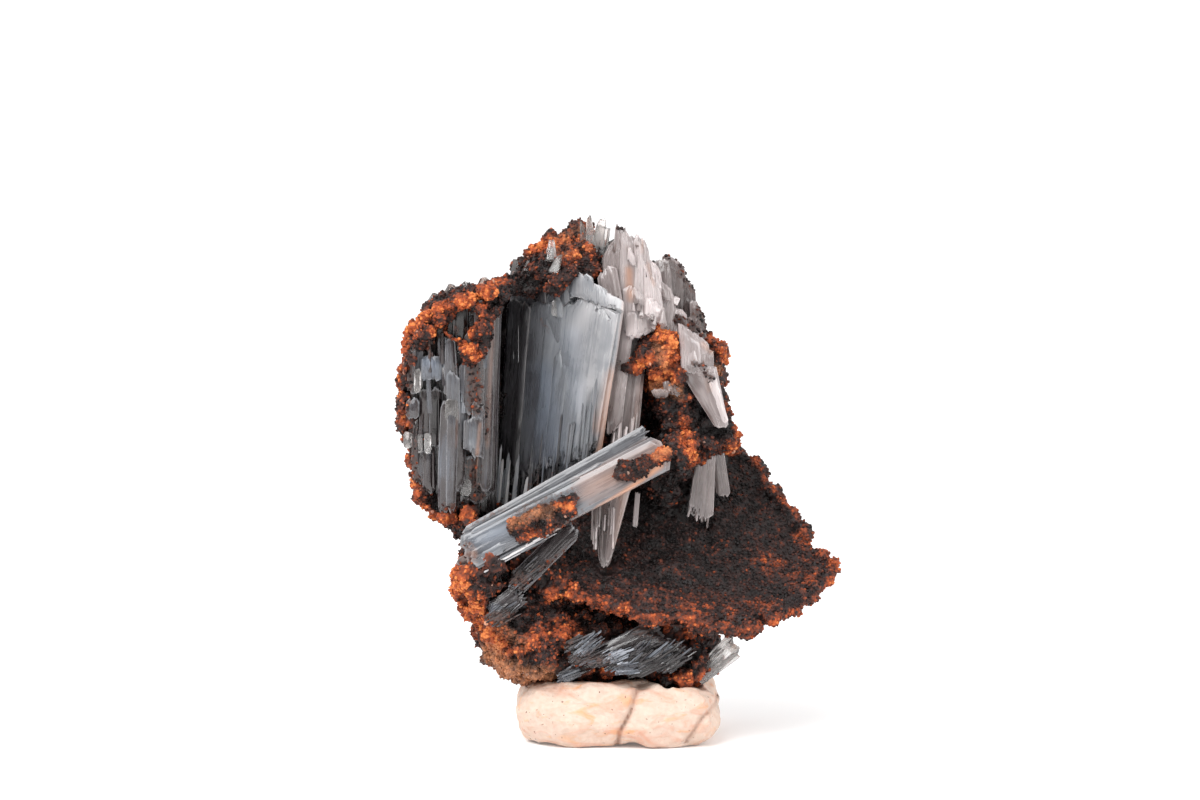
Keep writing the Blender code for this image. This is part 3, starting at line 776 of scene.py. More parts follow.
# the chips on its head: a wedge's corners, how far it leans, and its tone
HEAD = """
    -5.2 -2 42.9 -4.5 -2.6 46.9 46.6 0.1 0.6 | -3.6 -0.6 42.2 -3 -1.1 46 45 0.5 0.56
    -7.6 -4.6 42.2 -6.6 -5 45.4 46 -0.5 0.46 | -1.9 0.6 41.8 -1.6 0.7 45 43.9 0.5 0.58
    -8.8 -7 42.4 -8 -7.2 45.6 45 -0.4 0.28 | -6.4 -5.4 41.2 -6.1 -5.5 44.4 44 -0.5 0.6
    -5.4 -4.4 44.8 -5.2 -4.7 47 46.4 -0.3 0.64"""
for i, (*corners, lean, tone) in enumerate(rows(HEAD)):
    face = -3.7 - 0.79 * (corners[0] + corners[1]) / 2
    leaves.append(wedge(*corners, face, 0.55, -0.78, tone, 40 + i, swell=0.4, ragged=(1.6, 0.5), lean=lean))
for i in range(26):
    x = between(-11.6, -2.6)
    foot = at(x, 21.4 + max(0, x + 9) * 0.95 + between(0, 2.4), 4.4 - (x + 12) * 0.95)
    leaves.append(lath(foot, foot + Vector((0.6, 0.1, between(3, 7))), between(0.15, 0.35), 0.3, FRONT,
                       between(0.2, 0.7), 120 + i, i % 3))
for i in range(9):
    x = between(-12.2, -9.4)
    low = between(22.6, 25)
    leaves.append(lath(at(x, 22.4, 1.5), at(x + 0.5, low + between(2.4, 4.6), 2), between(0.3, 0.7), 0.4,
                       Vector((between(-0.5, 0.5), -1, 0)), between(0.6, 1.15), 160 + i, 2))
for x, low, high, y in ((-9.9, 37.4, 41.2, 3.2), (-10.4, 37.8, 38.5, 3.7)):
    leaves.append(lath(at(x, low, y), at(x, high, y), 0.06, 0.1, FRONT, 0.9, 190, 2))
broad_slab = grown(
    "broad_slab", leaves, "barite", "broad_blade", finish="clean_barite",
    haze="-7.8 36 -6.6 27 2 1 | -4.6 40 -4 33 1.6 0.5",
    stain="""
    0.7 43.5 0.1 38 -0.3 35 0.35 0.5 | -0.2 36 -1.1 31 -1.7 28.4 0.6 0.85 | -0.2 36 -0.8 33 -1.3 31 1.3 0.75
    -11.6 26 -10.2 24 1 0.3""",
    soil="-7.6 41.4 -6.8 40.8 0.4 0.4 | -7 45.6 -5 45.6 0.7 0.6 | -10 23 -6 25 1 0.4")
spots = drawn(places(broad_slab))
# painted shade and light: the face is darkened towards the recess on its left and lightened on its right; it is also
# made darker towards its foot
painted_side_shading = np.interp(spots[:, 0], [-12.7, -9.6, -8.6, -7.4, -5.6, -3.4, -1.7, 0.8],
                       [-0.04, -0.14, -0.16, -0.1, -0.05, 0.03, 0.08, 0.1])
lower = np.interp(spots[:, 1], [24, 28, 34, 46], [-0.2, -0.05, 0, 0.02])
write_field(broad_slab, "tone", read_field(broad_slab, "tone") + painted_side_shading + lower)

# %% [markdown]
# ## The tall blade
# Behind it a long pale blade hangs from the crown down to a tip over the ledge. The crown is a
# broken fan of chips, pale and pinkish, and the hanging part is a few long leaves side by side.

# %% The tall blade
CROWN = (((-0.8, 1.2, 40.5), (0, 2.2, 49)), ((4.3, 1.8, 38.8), (3.2, 2.8, 47.4)))
long_ones = [
    leaf(((-1.6, -3.6, 22), (0.9, 2, 42.6)), ((0.6, -3.4, 22.4), (3.3, 2.5, 43)), 0.9, 141, relief=0.05,
         ragged=(1.4, 0.5), frayed=(0.8, 0.2), tone=0.46),
    leaf(((0.2, -3, 24), (2.2, 2, 43.2)), ((1.5, -2.8, 24.4), (3.4, 2.3, 43.4)), 0.8, 142, relief=0.04,
         ragged=(1, 0.5), tone=0.5),
    leaf((at(-1.7, 16.9, -4.9), at(-2.8, 26.4, -2.8)), (at(-0.9, 16.6, -4.9), at(1.8, 26.4, -2.6)), 0.9, 143,
         relief=0.06, ragged=(0.3, 0.5), frayed=(0.3, 0.2), tone=0.4, rounded=0.4),
    leaf((at(-1.3, 17.2, -5.4), at(-0.4, 26.4, -3.3)), (at(-0.8, 17.2, -5.4), at(1.7, 26.4, -3.1)), 0.5, 145,
         relief=0.03, ragged=(0.4, 0.5), frayed=(0.2, 0.2), tone=0.56, rounded=0.3),
    leaf((at(-2.4, 19.4, -5), at(-2.6, 26, -3.4)), (at(-1.9, 19.2, -5), at(-1.4, 26, -3.4)), 0.5, 146, relief=0.1,
         ragged=(1.6, 0.5), frayed=(1.6, 0.2), tone=0.44),
    leaf(*CROWN, 1.6, 31, (0, 1), 0.3, 0.1, (0.8, 1.4), (0.3, 0.6), 0.1, 0.62, swell=0.8, trim=(0, -0.4)),
    leaf(*borders((-0.5, -1.8, 30), (1.3, 0, 44.6), 1.5, (0.2, -1, 0)), 0.6, 144, relief=0.05, ragged=(1.6, 0.4),
         tone=0.54),
    wedge(3.9, 5, 33.6, 3.2, 5.1, 34.8, 34.9, -1.6, 0.6, 0.2, 0.5, 147, lean=-0.6, ragged=(0.3, 0.2),
          frayed=(0.3, 0.2), swell=1, column=0.06, row=0.15, rounded=0.5),
    wedge(4.8, 6.5, 33.6, 4.6, 6.4, 36, 35.7, -1.3, 0.7, 0.5, 0.5, 148, lean=0.3, ragged=(0.5, 0.5),
          frayed=(0.5, 0.5), relief=0.3, swell=1, column=0.06, row=0.15),
]
for i in range(14):
    x = between(-2.6, -0.4)
    up = between(18.6, 22)
    foot = at(x, up, 0.22 * (up - 18.6) - 5.1 - between(0, 0.2))
    long_ones.append(lath(foot, foot + Vector((0.1, 0.7, between(1.5, 4))), between(0.12, 0.26), 0.22, FRONT,
                          between(0.4, 1), 150 + i, i % 3))
for i in range(12):
    x = between(-1.2, 1.6)
    foot = at(x, between(28.6, 30.4), -2.05)
    long_ones.append(lath(foot, foot + Vector((0.2, 0.5, between(1.2, 3))), between(0.12, 0.26), 0.22, FRONT,
                          between(0.5, 1), 170 + i, i % 3))
long_ones.append(lath((1.8, 1.5, 20.6), (2.1, 2.1, 24.4), 0.55, 0.4, FRONT, 0.8, 6, 1))
long_ones += wedges("""
    -1.7 1 42.6 -1.3 0.7 48.6 51.6 0.4 1.5 -0.3 0.56 | 0.1 3 40.2 -0.1 1.9 51.4 50.2 0.3 1.5 0.15 0.7
    1.5 4.5 39.6 1.6 2.9 50.6 49.6 0.4 1.4 0.4 0.76 | 2.6 5.1 40.2 2.6 4.1 47.8 45 0.2 1.3 0.6 0.82
    0.8 3.4 39.4 0.5 3.4 45.8 44.4 -0.7 0.9 0.2 0.72 | 2.7 4.9 41 2.9 4.6 44.8 43.2 -0.8 0.8 0.5 0.88
    -1.4 0.7 42.4 -2.1 -0.3 46.6 47.8 -0.6 0.9 -0.4 0.64 | -0.4 0.6 47.6 -0.1 0.3 51.6 51 -0.1 0.7 0.1 0.6
    2.1 3.1 46.4 2.4 2.9 50.4 49.8 0.1 0.7 0.3 0.7 | 0.9 1.9 46.6 1.1 1.7 49.6 48.4 -0.3 0.6 0.3 0.84
    0.9 2.1 39.2 0.8 1.9 42.4 43 -1.3 0.5 0.1 0.66""", 60, relief=0.12, ragged=(1, 0.5), frayed=(0.4, 0.35))
for i in range(9):
    x = between(1.6, 4.6)
    low = 43 - max(0, x) * 0.7 + between(0, 2)
    long_ones.append(shard(at(x, low, -1.1), at(x + between(-0.5, 0.4), low + between(0.8, 1.8), -0.6),
                           between(0.3, 0.6), 0.5, Vector((between(-0.9, 0.9), -1, 0.1)),
                           between(0.55, 0.85), 230 + i, 0.2))
tall_splinter = grown(
    "tall_splinter", long_ones, "pale_barite", "tall_blade",
    stain="""
    1.2 46.6 1.3 43.8 0.6 0.75 | 3.1 47.2 3.7 45.2 0.4 0.6 | 0 19 0.6 24 1.4 25.6 0.9 0.5
    0.4 49.6 1.2 48.4 0.5 0.3 | 1.6 31 2.6 36 0.7 0.36 | 3.4 34.6 6.2 34.8 0.8 0.45 | 2.5 50 2.5 48.4 0.3 0.5""",
    # painted light: the upper part of the hanging blade is lightened where it lies in the crown's shadow
    lighter="1.4 40 1.8 35 1.4 0.2",
    soil="""
    0 51 0.9 50.8 0.5 0.8 | -0.4 49.4 -0.3 48.4 0.3 0.7 | -1 24 -1.4 20 0.7 0.3 | 0.4 37 3 37 0.7 0.6
    1.9 49 2 48.8 0.3 0.6 | 5.2 35.4 6.2 34.2 0.9 0.42""")

# %% [markdown]
# ## Brushes of fibres
# Low down the barite is split so finely that it looks like brushes. A brush is a few dozen thin
# laths that start close together and fan out a little.

# %% A brush
def brush(foot, run, count, room, tone, seed):
    """Fibres from round foot, each a share of run long: room is how far their feet spread each way."""
    fibres = []
    for i in range(count):
        start = Vector(foot) + Vector(between(-r / 2, r / 2) for r in room)
        fan = Vector(between(-0.12, 0.12) for _ in range(3)) * Vector(run).length
        end = start + (Vector(run) + fan) * between(0.25, 0.8)
        fibres.append(lath(start, end, between(0.08, 0.24), 0.16, Vector((between(-0.5, 0.5), -1, 0.2)),
                           tone + between(-0.25, 0.25), seed + i, i % 3))
    return fibres


# %% [markdown]
# ## The cross blade
# The blade aslant across the front has a clean pinkish face on the right, a streaked blue-grey
# one on the left, and frayed leaves under its lower edge.

# %% The cross blade and the ones below it
CROSS = borders((-15.6, -8.7, 19.3), (5, -6.6, 29.8), 3.7, (0, -1, 0.3))
sheets = [
    leaf(*CROSS, 1.2, 41, (0, 1), -0.2, 0.03, (0.7, 0.4), (0.3, 0.1), 0.02, 0.46, swell=0.1),
    leaf(*CROSS, 0.5, 42, (0.1, 1), 0.35, 0, (0.3, 0.3), (0, 0), 0, 0.52, trim=(10.4, 0.5), swell=0.06),
    leaf(*CROSS, 0.45, 43, (0.06, 0.94), 0.3, 0.05, (0.8, 1.2), (0.6, 0.8), 0.02, 0.46, trim=(0.3, 10.6), swell=0.2),
    leaf(*CROSS, 0.3, 44, (0, 0.12), 0.5, 0.04, (1, 1.6), (0.6, 0.8), 0.02, 0.5, trim=(1, 8)),
    leaf(*CROSS, 0.3, 48, (0.62, 0.94), 0.5, 0.08, (1, 1.6), (0.6, 1.2), 0.04, 0.54, trim=(1, 17)),
    leaf(*borders((-15.6, -7.9, 20.9), (4.2, -5.6, 32), 1.7, (0, -1, 0.25)), 0.8, 45, relief=0.1, ragged=(0.8, 1.8),
         frayed=(0.4, 1.5), tone=0.4),
    leaf(*borders((-15.6, -8.3, 20.5), (0, -6.6, 29), 0.9, (0, -1, 0.25)), 0.5, 46, relief=0.1, ragged=(0.8, 1.4),
         frayed=(0.4, 1), tone=0.48),
    leaf(*borders((-16.2, -8.4, 17.9), (-12, -8, 19.6), 2, (0, -1, 0.2)), 0.8, 47, relief=0.15, ragged=(0.8, 1.2),
         frayed=(0.4, 1), tone=0.42),
]
for i in range(26):
    slide = between(0, 6.5)
    foot = Vector((-13.8 + slide, -9.1 + between(-0.1, 0.3), 17.6 + slide * 0.5 + between(0, 0.7)))
    sheets.append(lath(foot, foot + Vector((4.2, 0.3, 2.2)) * between(0.2, 0.9), between(0.1, 0.26), 0.22,
                       FRONT, between(0.3, 1), 80 + i, i % 3))
cross_slab = grown(
    "cross_slab", sheets, "barite", "cross_blade", finish="clean_barite",
    lighter="-13.6 20 -9.6 21.6 0.6 0.08",
    darker="-2 23.6 2 25.8 0.5 0.06 | -15.6 18 -13.6 18.6 0.9 0.12",
    haze="-13.6 19.6 -9.4 21.6 1.4 0.9",
    stain="""
    -2 22.9 0.5 24.4 4.6 27.4 0.42 0.95 | -6.8 20.6 -2.6 22.4 0.7 0.5 | -9.5 22 -5 23.8 1.3 0.35
    -15.8 17.6 -14.4 18.4 0.9 0.6 | -3 25 4.5 28.6 2.2 0.55""",
    soil="""
    -16.4 17.2 -14.6 18 0.7 0.8 | -15.4 19.2 -14.6 19.4 0.5 0.6 | -7 20.4 -2.4 22.8 0.7 0.5
    -9.6 22.4 -4.4 24.4 0.9 0.45 | -16 20.4 -11 23 0.3 0.4""")

hidden = [
    leaf(*borders((-11.4, -7.3, 15), (-3.8, -5.8, 22.4), 2.2, (0, -1, 0.1)), 1, 51, relief=0.2, ragged=(1.6, 0.8),
         frayed=(1.6, 0.3), tone=0.24),
    leaf(*borders((-13.2, -7.6, 12.8), (-8.4, -7, 16.4), 2.2), 0.8, 53, relief=0.2, ragged=(0.9, 1),
         frayed=(1.2, 1.4), tone=0.16),
]
hidden += brush((-12.4, -8.1, 12.9), (2.8, 0.4, 2), 60, (1.8, 0.3, 1.4), 0.16, 260)
hidden += brush((-10, -7.5, 16.4), (3.2, 0.5, 3), 50, (1.6, 0.3, 1), 0.22, 320)
under_slab = grown(
    "under_slab", hidden, "barite", "under_blade",
    lighter="-12.9 13.6 -12.4 13.2 0.6 0.4",
    haze=0.6,
    soil="-12.8 17.2 -9.6 15.8 1 0.9 | -13.4 12 -10.4 12.2 0.7 0.8 | -7.4 17 -5 18.6 0.7 0.5")

# %% [markdown]
# ## The blades on the right, at the foot and behind
# Each of these is one or two leaves and a few laths or shards between the ends that its packed
# solid has.

# %% The blades on the right and behind the crown
slant = borders((10.2, -0.4, 32), (7.4, 0.8, 40.2), 1.9, (-0.3, -1, 0.2))
chunks = [leaf(*slant, 1, 54, relief=0.1, ragged=(0.8, 1), tone=0.5)]
chunks += wedges("""
    9.9 11.2 30.7 5.9 9.8 37.2 37.4 -0.9 1 0.2 0.68 | 10.6 11.25 31.2 8.9 9.8 36 36.2 -1.4 0.4 0.5 0.86
    6.5 9.4 36.2 6 9.1 41.9 39.5 -0.6 1.1 0.2 0.72 | 8.2 9.6 36.4 7.9 9.5 38.9 39 -0.7 0.8 0.5 0.6
    6.9 8.2 36.8 6.5 7.8 39.8 39.4 -1 0.5 0.1 0.8""", 300, relief=0.14, ragged=(0.3, 0.4), frayed=(0.1, 0.1),
                 swell=0.9, rounded=0.3, column=0.08, row=0.3)
right_slab = grown(
    "right_slab", chunks, "pale_barite", "right_blade",
    soil="7.7 37.3 8.5 37.1 0.4 0.7 | 8.7 36.4 9.4 35.8 0.5 0.6 | 8.6 41.6 9.6 39.4 0.4 0.5",
    stain="8.8 36.2 9.2 34.6 0.5 0.5 | 8.6 39.2 9.5 38.5 0.5 0.6",
    darker="7.4 36.8 7.8 35.2 0.6 0.25 | 9.6 31.8 8.8 32.6 0.7 0.12",
    # painted highlight: a light stroke along the blade's right edge
    lighter="9.9 35 11.1 31.8 0.3 0.2")

FAN = (((7, 2.8, 21.2), (8.2, 3, 29.6)), ((9.7, 2.8, 20.6), (10, 3.2, 29.8)))
sprays = [
    leaf(*FAN, 0.7, 61, relief=0.1, ragged=(0.8, 0.3), frayed=(0.8, 0.1), tone=0.42, column=0.08),
    leaf(*FAN, 0.4, 62, (0.3, 0.98), 0.45, 0.04, (0.6, 0.3), (0.8, 0.1), tone=0.58, column=0.08),
    leaf(*FAN, 0.3, 64, (0.02, 0.5), 0.5, 0.04, (1.2, 0.3), (1.4, 0.1), tone=0.5, column=0.08, trim=(0.4, 1)),
    leaf(*borders((10.9, 3.9, 23), (9.8, 3.7, 30.2), 1.4), 0.6, 63, relief=0.1, ragged=(0.8, 0.3), tone=0.46),
]
for i in range(14):
    t = chance.random()
    foot = Vector(FAN[0][0]).lerp(Vector(FAN[1][0]), t) + Vector((0, -0.4, between(-0.2, 0.9)))
    tip = Vector(FAN[0][1]).lerp(Vector(FAN[1][1]), t) + Vector((0, -0.1, -between(2, 6)))
    sprays.append(lath(foot, tip, between(0.12, 0.3), 0.22, FRONT, between(0.4, 0.9), 320 + i, i % 3))
fan_spray = grown("fan_spray", sprays, "pale_barite", "fan_blade", soil="7.6 30 10.4 30 1 0.7")

rocks = wedges("""
    3.4 6 38.4 3.2 5.2 47.2 48.6 4.8 1.9 0.2 0.46 | 4.8 7.4 38.4 4.6 6.8 48.8 47.6 5.4 1.9 0.1 0.3
    6.2 8.6 38 6 7.8 47.4 45.2 5.6 1.9 0.3 0.26 | 7.2 9.2 37 7.2 8.6 44.8 42.4 5.2 1.7 0.5 0.36
    4 6 40 4.2 5.6 45.8 44.8 3.8 0.9 0.4 0.76 | 5.4 7.4 39.2 5.2 6.9 43.8 43 3.8 0.9 -0.3 0.84
    6.8 8.4 38.4 6.6 8 42.8 41.8 4 0.9 0.5 0.5 | 3 4.7 43.6 2.9 4.2 48.4 47.2 3.4 0.8 0.4 1
    4.2 5.4 43 3.9 5 46.2 45.4 3.2 0.7 -0.3 0.66 | 7.6 8.6 40 7.3 8.2 44.4 43.6 4.2 0.8 0.5 0.56""", 340,
               relief=0.3, swell=1.2, frayed=(0.1, 0.1), rounded=0.5)
for i in range(14):
    x = between(4, 8.6)
    low = 39.5 + (8.6 - x) * between(0, 1.5)
    rocks.append(shard(at(x, low, 3.9), at(x + between(-0.7, 0.7), low + between(0.8, 1.8), 4.2),
                       between(0.5, 1.1), 0.8, Vector((between(-0.9, 0.9), -1, between(-0.3, 0.6))),
                       between(0.2, 1), 360 + i, 0.6))
rear_plates = grown(
    "rear_plates", rocks, "pale_barite", "rear_blade",
    soil="4.4 49 6.4 48 0.9 0.75 | 6.6 46.4 8.2 44.6 0.9 0.6 | 6.2 41.6 8 41 0.7 0.8 | 8.2 42.6 9.4 40.6 0.6 0.85")

# %% The blades at the foot and at the back
grown("foot_splinter", [
    leaf(*borders((7.8, -4.6, 6.1), (12.2, -4.2, 10), 1.5), 0.8, 77, relief=0.05, ragged=(0.3, 0.5), tone=0.8),
    leaf(*borders((8.4, -4, 7.2), (11.8, -3.6, 10.8), 1.1, (0.3, -1, 0)), 0.7, 78, relief=0.05, ragged=(0.3, 0.5),
         tone=0.7),
    shard((8.2, -5, 6.3), (12.4, -4.8, 9.4), 0.8, 0.5, FRONT, 0.7, 380, 0.8),
], "clear_barite", "foot_blade")

BASE = (((-4.6, -6.6, 8.6), (4.4, -6.2, 13.2)), ((0.6, -7, 6.6), (8.6, -6.4, 10.6)))
straws = [leaf(*BASE, 1.2, 71, relief=0.5, ragged=(1.6, 1.6), frayed=(1.6, 1.6), step=0.3, tone=0.2, swell=0.8)]
# brushes in the base: the foot, the run and the tone
TUFTS = """
    -4.2 -7.4 8.8 4 0.2 2.2 0.22 | -2.6 -7.5 8.6 3.6 0.2 1.2 0.14 | -0.6 -7.6 8.2 3.8 0.2 1.8 0.3
    0.8 -7.6 8.4 3 0.2 2.8 0.26 | 1.6 -7.6 7.6 3.6 0.2 1.6 0.18 | 3.4 -7.4 8.6 3.2 0.2 2.4 0.3
    -4.6 -7.2 10 3 0.2 1.4 0.16 | 4.6 -7.4 8 3 0.2 2 0.2 | -0.8 -7.9 9 2.4 0.1 1.2 0.66
    0.4 -7.9 8 1.8 0.1 0.3 0.6 | -3.6 -7.8 9.8 2.4 0.1 2 0.5 | -5.3 -6 6.9 2.6 0.1 1.2 0.5"""
for i, (*ends, tone) in enumerate(rows(TUFTS)):
    straws += brush(ends[:3], ends[3:], 56, (1.6, 0.4, 1.1), tone, 400 + 60 * i)
base_laths = grown(
    "base_laths", straws, "barite", "base_blade",
    haze=0.6,
    soil="-4 8 -1 8 1 0.5 | 2 11.4 7 10.4 1.2 0.6 | -5.4 9.4 -4.4 10.4 0.8 0.6")

BACK = (((2.6, 12.2, 19.6), (6.4, 11.4, 38.4)), ((-8.6, 12.6, 18.4), (-9.6, 11.8, 40.6)))
SPRAY = (((0.6, 12.4, 23.4), (-10.4, 9, 14.4)), ((-3.4, 12.6, 27.6), (-13.4, 9, 17.6)))
back_fan = grown("back_fan", [
    leaf(*BACK, 1.4, 81, relief=0.1, ragged=(1.6, 1.4), frayed=(1.2, 0.4), tone=0.45, step=0.1, swell=0.6),
    leaf(*BACK, 0.5, 82, (0.1, 0.42), 0.6, 0.06, (2, 1.4), (1.4, 0.4), tone=0.6, trim=(1, 1), swell=0.5),
    leaf(*BACK, 0.5, 83, (0.5, 0.95), 0.6, 0.06, (1.4, 2), (1.4, 0.4), tone=0.5, trim=(0.4, 1.4), swell=0.5),
    leaf(*BACK, 0.3, 84, (0.6, 0.8), 0.9, 0.05, (2, 2), (1.4, 0.8), tone=0.7, trim=(2, 4), swell=0.5),
    leaf(*SPRAY, 1.4, 85, relief=0.15, ragged=(1.2, 1), frayed=(0.6, 0.6), tone=0.4, step=0.15),
], "barite", "back_blades")
points = places(back_fan)
write_field(back_fan, "soil", np.clip(0.45 + 0.5 * np.sin(points[:, 0] * 0.9) * np.sin(points[:, 2] * 0.4), 0, 0.8))

# %% [markdown]
# ## Clear crystals
# Small clear crystals stand on the very top, and a few more lie against the stack and behind
# its rim. They are see-through, so they are whole little bars with nothing inside.

# %% Clear crystals
grown("crown_points", [
    shard((-2.4, 1.6, 48.6), (-2.6, 1.5, 52.9), 1.3, 0.9, FRONT, 0.8, 1, 0.3),
    shard((-2, 1.9, 48.4), (-1.8, 1.8, 52.5), 1.5, 0.9, Vector((0.5, -1, 0)), 0.9, 2, 0.5),
    lath((-1.8, 2, 47.4), (-1.3, 2.1, 51.2), 1.3, 0.9, Vector((-0.4, -1, 0)), 0.9, 3, 1),
    shard((-3.1, 2.1, 48.6), (-3.4, 2.1, 52.2), 1, 0.8, FRONT, 0.7, 4, 0.4),
    shard((-4.4, 2.9, 47.6), (-4.4, 2.7, 51), 1.3, 0.8, Vector((0.3, -1, 0)), 0.7, 5),
    shard((-1.2, 2.6, 47), (-0.7, 2.4, 50.2), 1.4, 0.8, Vector((0.5, -1, 0)), 0.8, 6),
], "clear_barite", "crown_crystals", stain="-4.4 50.6 -2.6 51.6 0.7 0.6 | -3.2 51 -1.2 51.2 1.4 0.4")


def chip(x, up, wide, high, y, tone, seed, lean=0):
    """A thin clear plate with rounded corners, whose foot is at x and up on the front drawing."""
    return leaf(*borders(at(x, up, y), at(x + lean, up + high, y), wide), 0.4, seed, relief=0.03,
                ragged=(0.3, 0.3), frayed=(0, 0), step=0, swell=0.1, tone=tone, column=0.12, row=0.2, rounded=0.5)


grown("clear_chips", [
    *(chip(*row) for row in rows("""
    -16.4 31.4 1.3 2.5 -4.8 0.4 601 | -15.1 24 1.2 2 -4 0.6 602 | -19.6 28.3 0.6 2.2 -3.9 0.9 603
    -18.8 28.2 0.7 2.3 -4 1 604 | -20.8 28.7 0.9 2 -3.1 0.6 605 | -19.8 34.2 0.7 2.6 -4 0.4 606
    -6.2 41.8 0.8 2 0.7 0.8 608 0.1""")),
    shard((-18.8, 2.2, 42.4), (-18, 1.8, 45), 1.8, 1, FRONT, 0.5, 10),
    shard((-17, 2.4, 43), (-16.4, 2, 45.5), 1.8, 1, Vector((0.4, -1, 0)), 0.6, 11),
    shard((-13.4, 2.2, 44.4), (-13.3, 2, 46.1), 1.8, 0.9, FRONT, 0.2, 12),
    shard((-15, 2.3, 43.6), (-15, 2, 45.7), 1.5, 0.9, Vector((-0.4, -1, 0)), 0.5, 13),
    shard(at(-10.2, 45.4, 2.8), at(-9.8, 47.9, 2.9), 1.2, 0.9, Vector((-0.4, -1, 0)), 0.5, 14),
    shard(at(-9, 46.4, 1.7), at(-8.8, 48.7, 2.6), 1.1, 0.9, Vector((0.4, -1, 0)), 0.9, 15),
    shard(at(-6.6, 47.4, 0.3), at(-6.4, 50, 1.2), 1.2, 0.8, Vector((0.4, -1, 0)), 0.7, 16),
    shard(at(-6.4, 46.2, -0.7), at(-5.6, 48.4, -0.3), 1.2, 0.8, Vector((-0.2, -1, 0.2)), 0.1, 17),
], "clear_barite", stain="-18.6 44.6 -15 45.8 -13.2 46.2 0.9 0.6")

# %% [markdown]
# ## The crust
# The crust is a crumbly mass of iron oxides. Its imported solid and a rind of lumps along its
# rims are melted together in a fine even mesh, then pushed in and out by noise of three sizes:
# lumps, knobs and grit. A few rounded patches of it sit on the cross blade and the ridge.

# %% The rind, chains of lumps
LUMP_SPACING = 0.7


def lump(centre, size, turn):
    """A ball stretched by size and turned about the depth axis."""
    bpy.ops.mesh.primitive_ico_sphere_add(subdivisions=3, radius=MM)
    made = bpy.context.object
    made.rotation_euler = (0, turn, 0)
    made.scale = size
    made.location = Vector(centre) * MM
    bpy.ops.object.transform_apply(location=True, rotation=True, scale=True)
    return made


# chains of lumps: a lump's size across, deep and high, then the points of the chain
RIND = """
    0.65 1.4 0.6 -20.6 -2.5 38.6 -19.9 -3.2 41.2 -17.8 -3.6 42.7 -15.2 -3.8 44 -13 -4 45 -11.6 -3.4 45.9
    0.6 0.5 0.7 -12.2 -4.2 44.6 -13.4 -4.8 42.9 -13.9 -4.8 41.2 | 0.6 0.5 0.7 -14.7 -4.6 40 -14.3 -4.6 38.4
    0.6 0.5 0.5 -17.6 -4.6 41.2 -16.4 -4.8 40.9 -15.3 -4.8 39.9
    0.4 1.7 0.9 -20.9 -1.5 37.5 -21.1 -1.5 34.5 -19.6 -1.5 31.5 -19.9 -1.5 29 -19.5 -1.6 26.8
    0.55 1.2 0.6 -19.5 -2.5 25.9 -19.8 -2.8 24.2 -18.2 -3.2 23 -16.4 -3.4 22.3 -13.6 -3.6 22.4
    0.8 2 0.9 -19.4 0.5 40.2 -17.6 0.5 41.4 -15.4 0.5 42.8
    0.6 1.5 0.8 9.4 3 39.4 10.4 3 38.2 9.3 3 35.6 10.5 3 32.8 11.2 3 29.4
    0.65 0.7 0.5 11 12.9 26.7 13.2 13.6 26.7 14.6 12.7 25.9 14.7 11.1 24.7 15.3 9.8 23.9
    0.65 0.7 0.5 15.3 9.8 23.9 16.5 8.1 22.5 18 6.3 21.1 19.3 5.1 19.9 19.2 4.3 19.1
    0.65 0.7 0.5 20.6 3 18.1 21.7 2.2 17.5 22.2 1.3 16.8 20.9 -0.8 15.7 19.4 -2.7 14.5
    0.65 0.7 0.5 19.4 -2.7 14.5 17.4 -5 13.3 15.2 -6.6 12.6 12.9 -8 12.2 9 -8.6 12.2
    0.8 0.7 0.5 18 -4.1 13.8 16.4 -5.2 13.3 | 0.8 0.8 0.5 20.2 0.6 16.6 18.8 -1.8 15.2 16.6 -4.2 13.9 14.4 -6.2 13
    0.8 1.5 0.8 -9.2 3.2 47.5 -7.6 3 49.1 -6 3 49.8 -4.2 3.2 50.5 -3 3.2 50.8
    1 1 0.9 -15 -6.6 16 -13 -7 16.4 -11 -7.4 16.2 | 0.8 0.6 0.7 -15.8 -8.8 17.7 -14 -9 18.3 -11.8 -9 18.7
    0.8 0.8 0.7 -15.2 -8.2 17 -12.2 -8.4 17.3 | 0.5 1.2 0.8 -20.6 0 35.6 -20.6 0 33.4"""
lumps = []
for row in rows(RIND):
    size = row[:3]
    points = [Vector(point) for point in np.reshape(row[3:], (-1, 3))]
    for start, end in zip(points, points[1:]):
        for i in range(max(1, round((end - start).length / LUMP_SPACING))):
            spot = start.lerp(end, chance.random()) + Vector(between(-0.35, 0.35) for _ in range(3))
            growth = between(0.7, 1.25)
            lumps.append(lump(spot, [s * growth for s in size], between(-0.8, 0.8)))
print("rind:", len(lumps), "lumps")

# %% The body of the crust
LUMPS = grain_texture("lumps", 2.6, depth=2)
KNOBS = grain_texture("knobs", 1.7, depth=2, basis="VORONOI_F1")
GRIT = grain_texture("grit", 0.45, depth=1)
FINE_VOXEL = 0.3
LEAST_FACES = 60
PATCH_SLANT = math.radians(-28)


def above_ledge(points):
    """How far over the plane of the ledge's top each point is, in millimetres."""
    return points[:, 2] - (20.4 + 0.67 * points[:, 1] - 0.2 * points[:, 0])


def on_shelf(points):
    """1 on the ledge's flat top, falling to 0 away from it."""
    return np.exp(-((above_ledge(points) / 1.4) ** 2)) * (points[:, 0] > -4) * (points[:, 2] > 8)


def without_bits(obj, least):
    """Drops the loose bits that have fewer faces than least."""
    name = obj.name
    only(obj)
    bpy.ops.mesh.separate(type="LOOSE")
    whole = [part for part in bpy.context.selected_objects if len(part.data.polygons) >= least]
    for part in bpy.context.selected_objects:
        if part not in whole:
            bpy.data.objects.remove(part, do_unlink=True)
    return joined(name, whole)


def dented(obj, texture, depth, middle=0.5, **settings):
    """Pushes the surface in and out by depth millimetres times the texture."""
    finish_step(obj, "DISPLACE", texture=texture, strength=depth * MM, mid_level=middle, **settings)


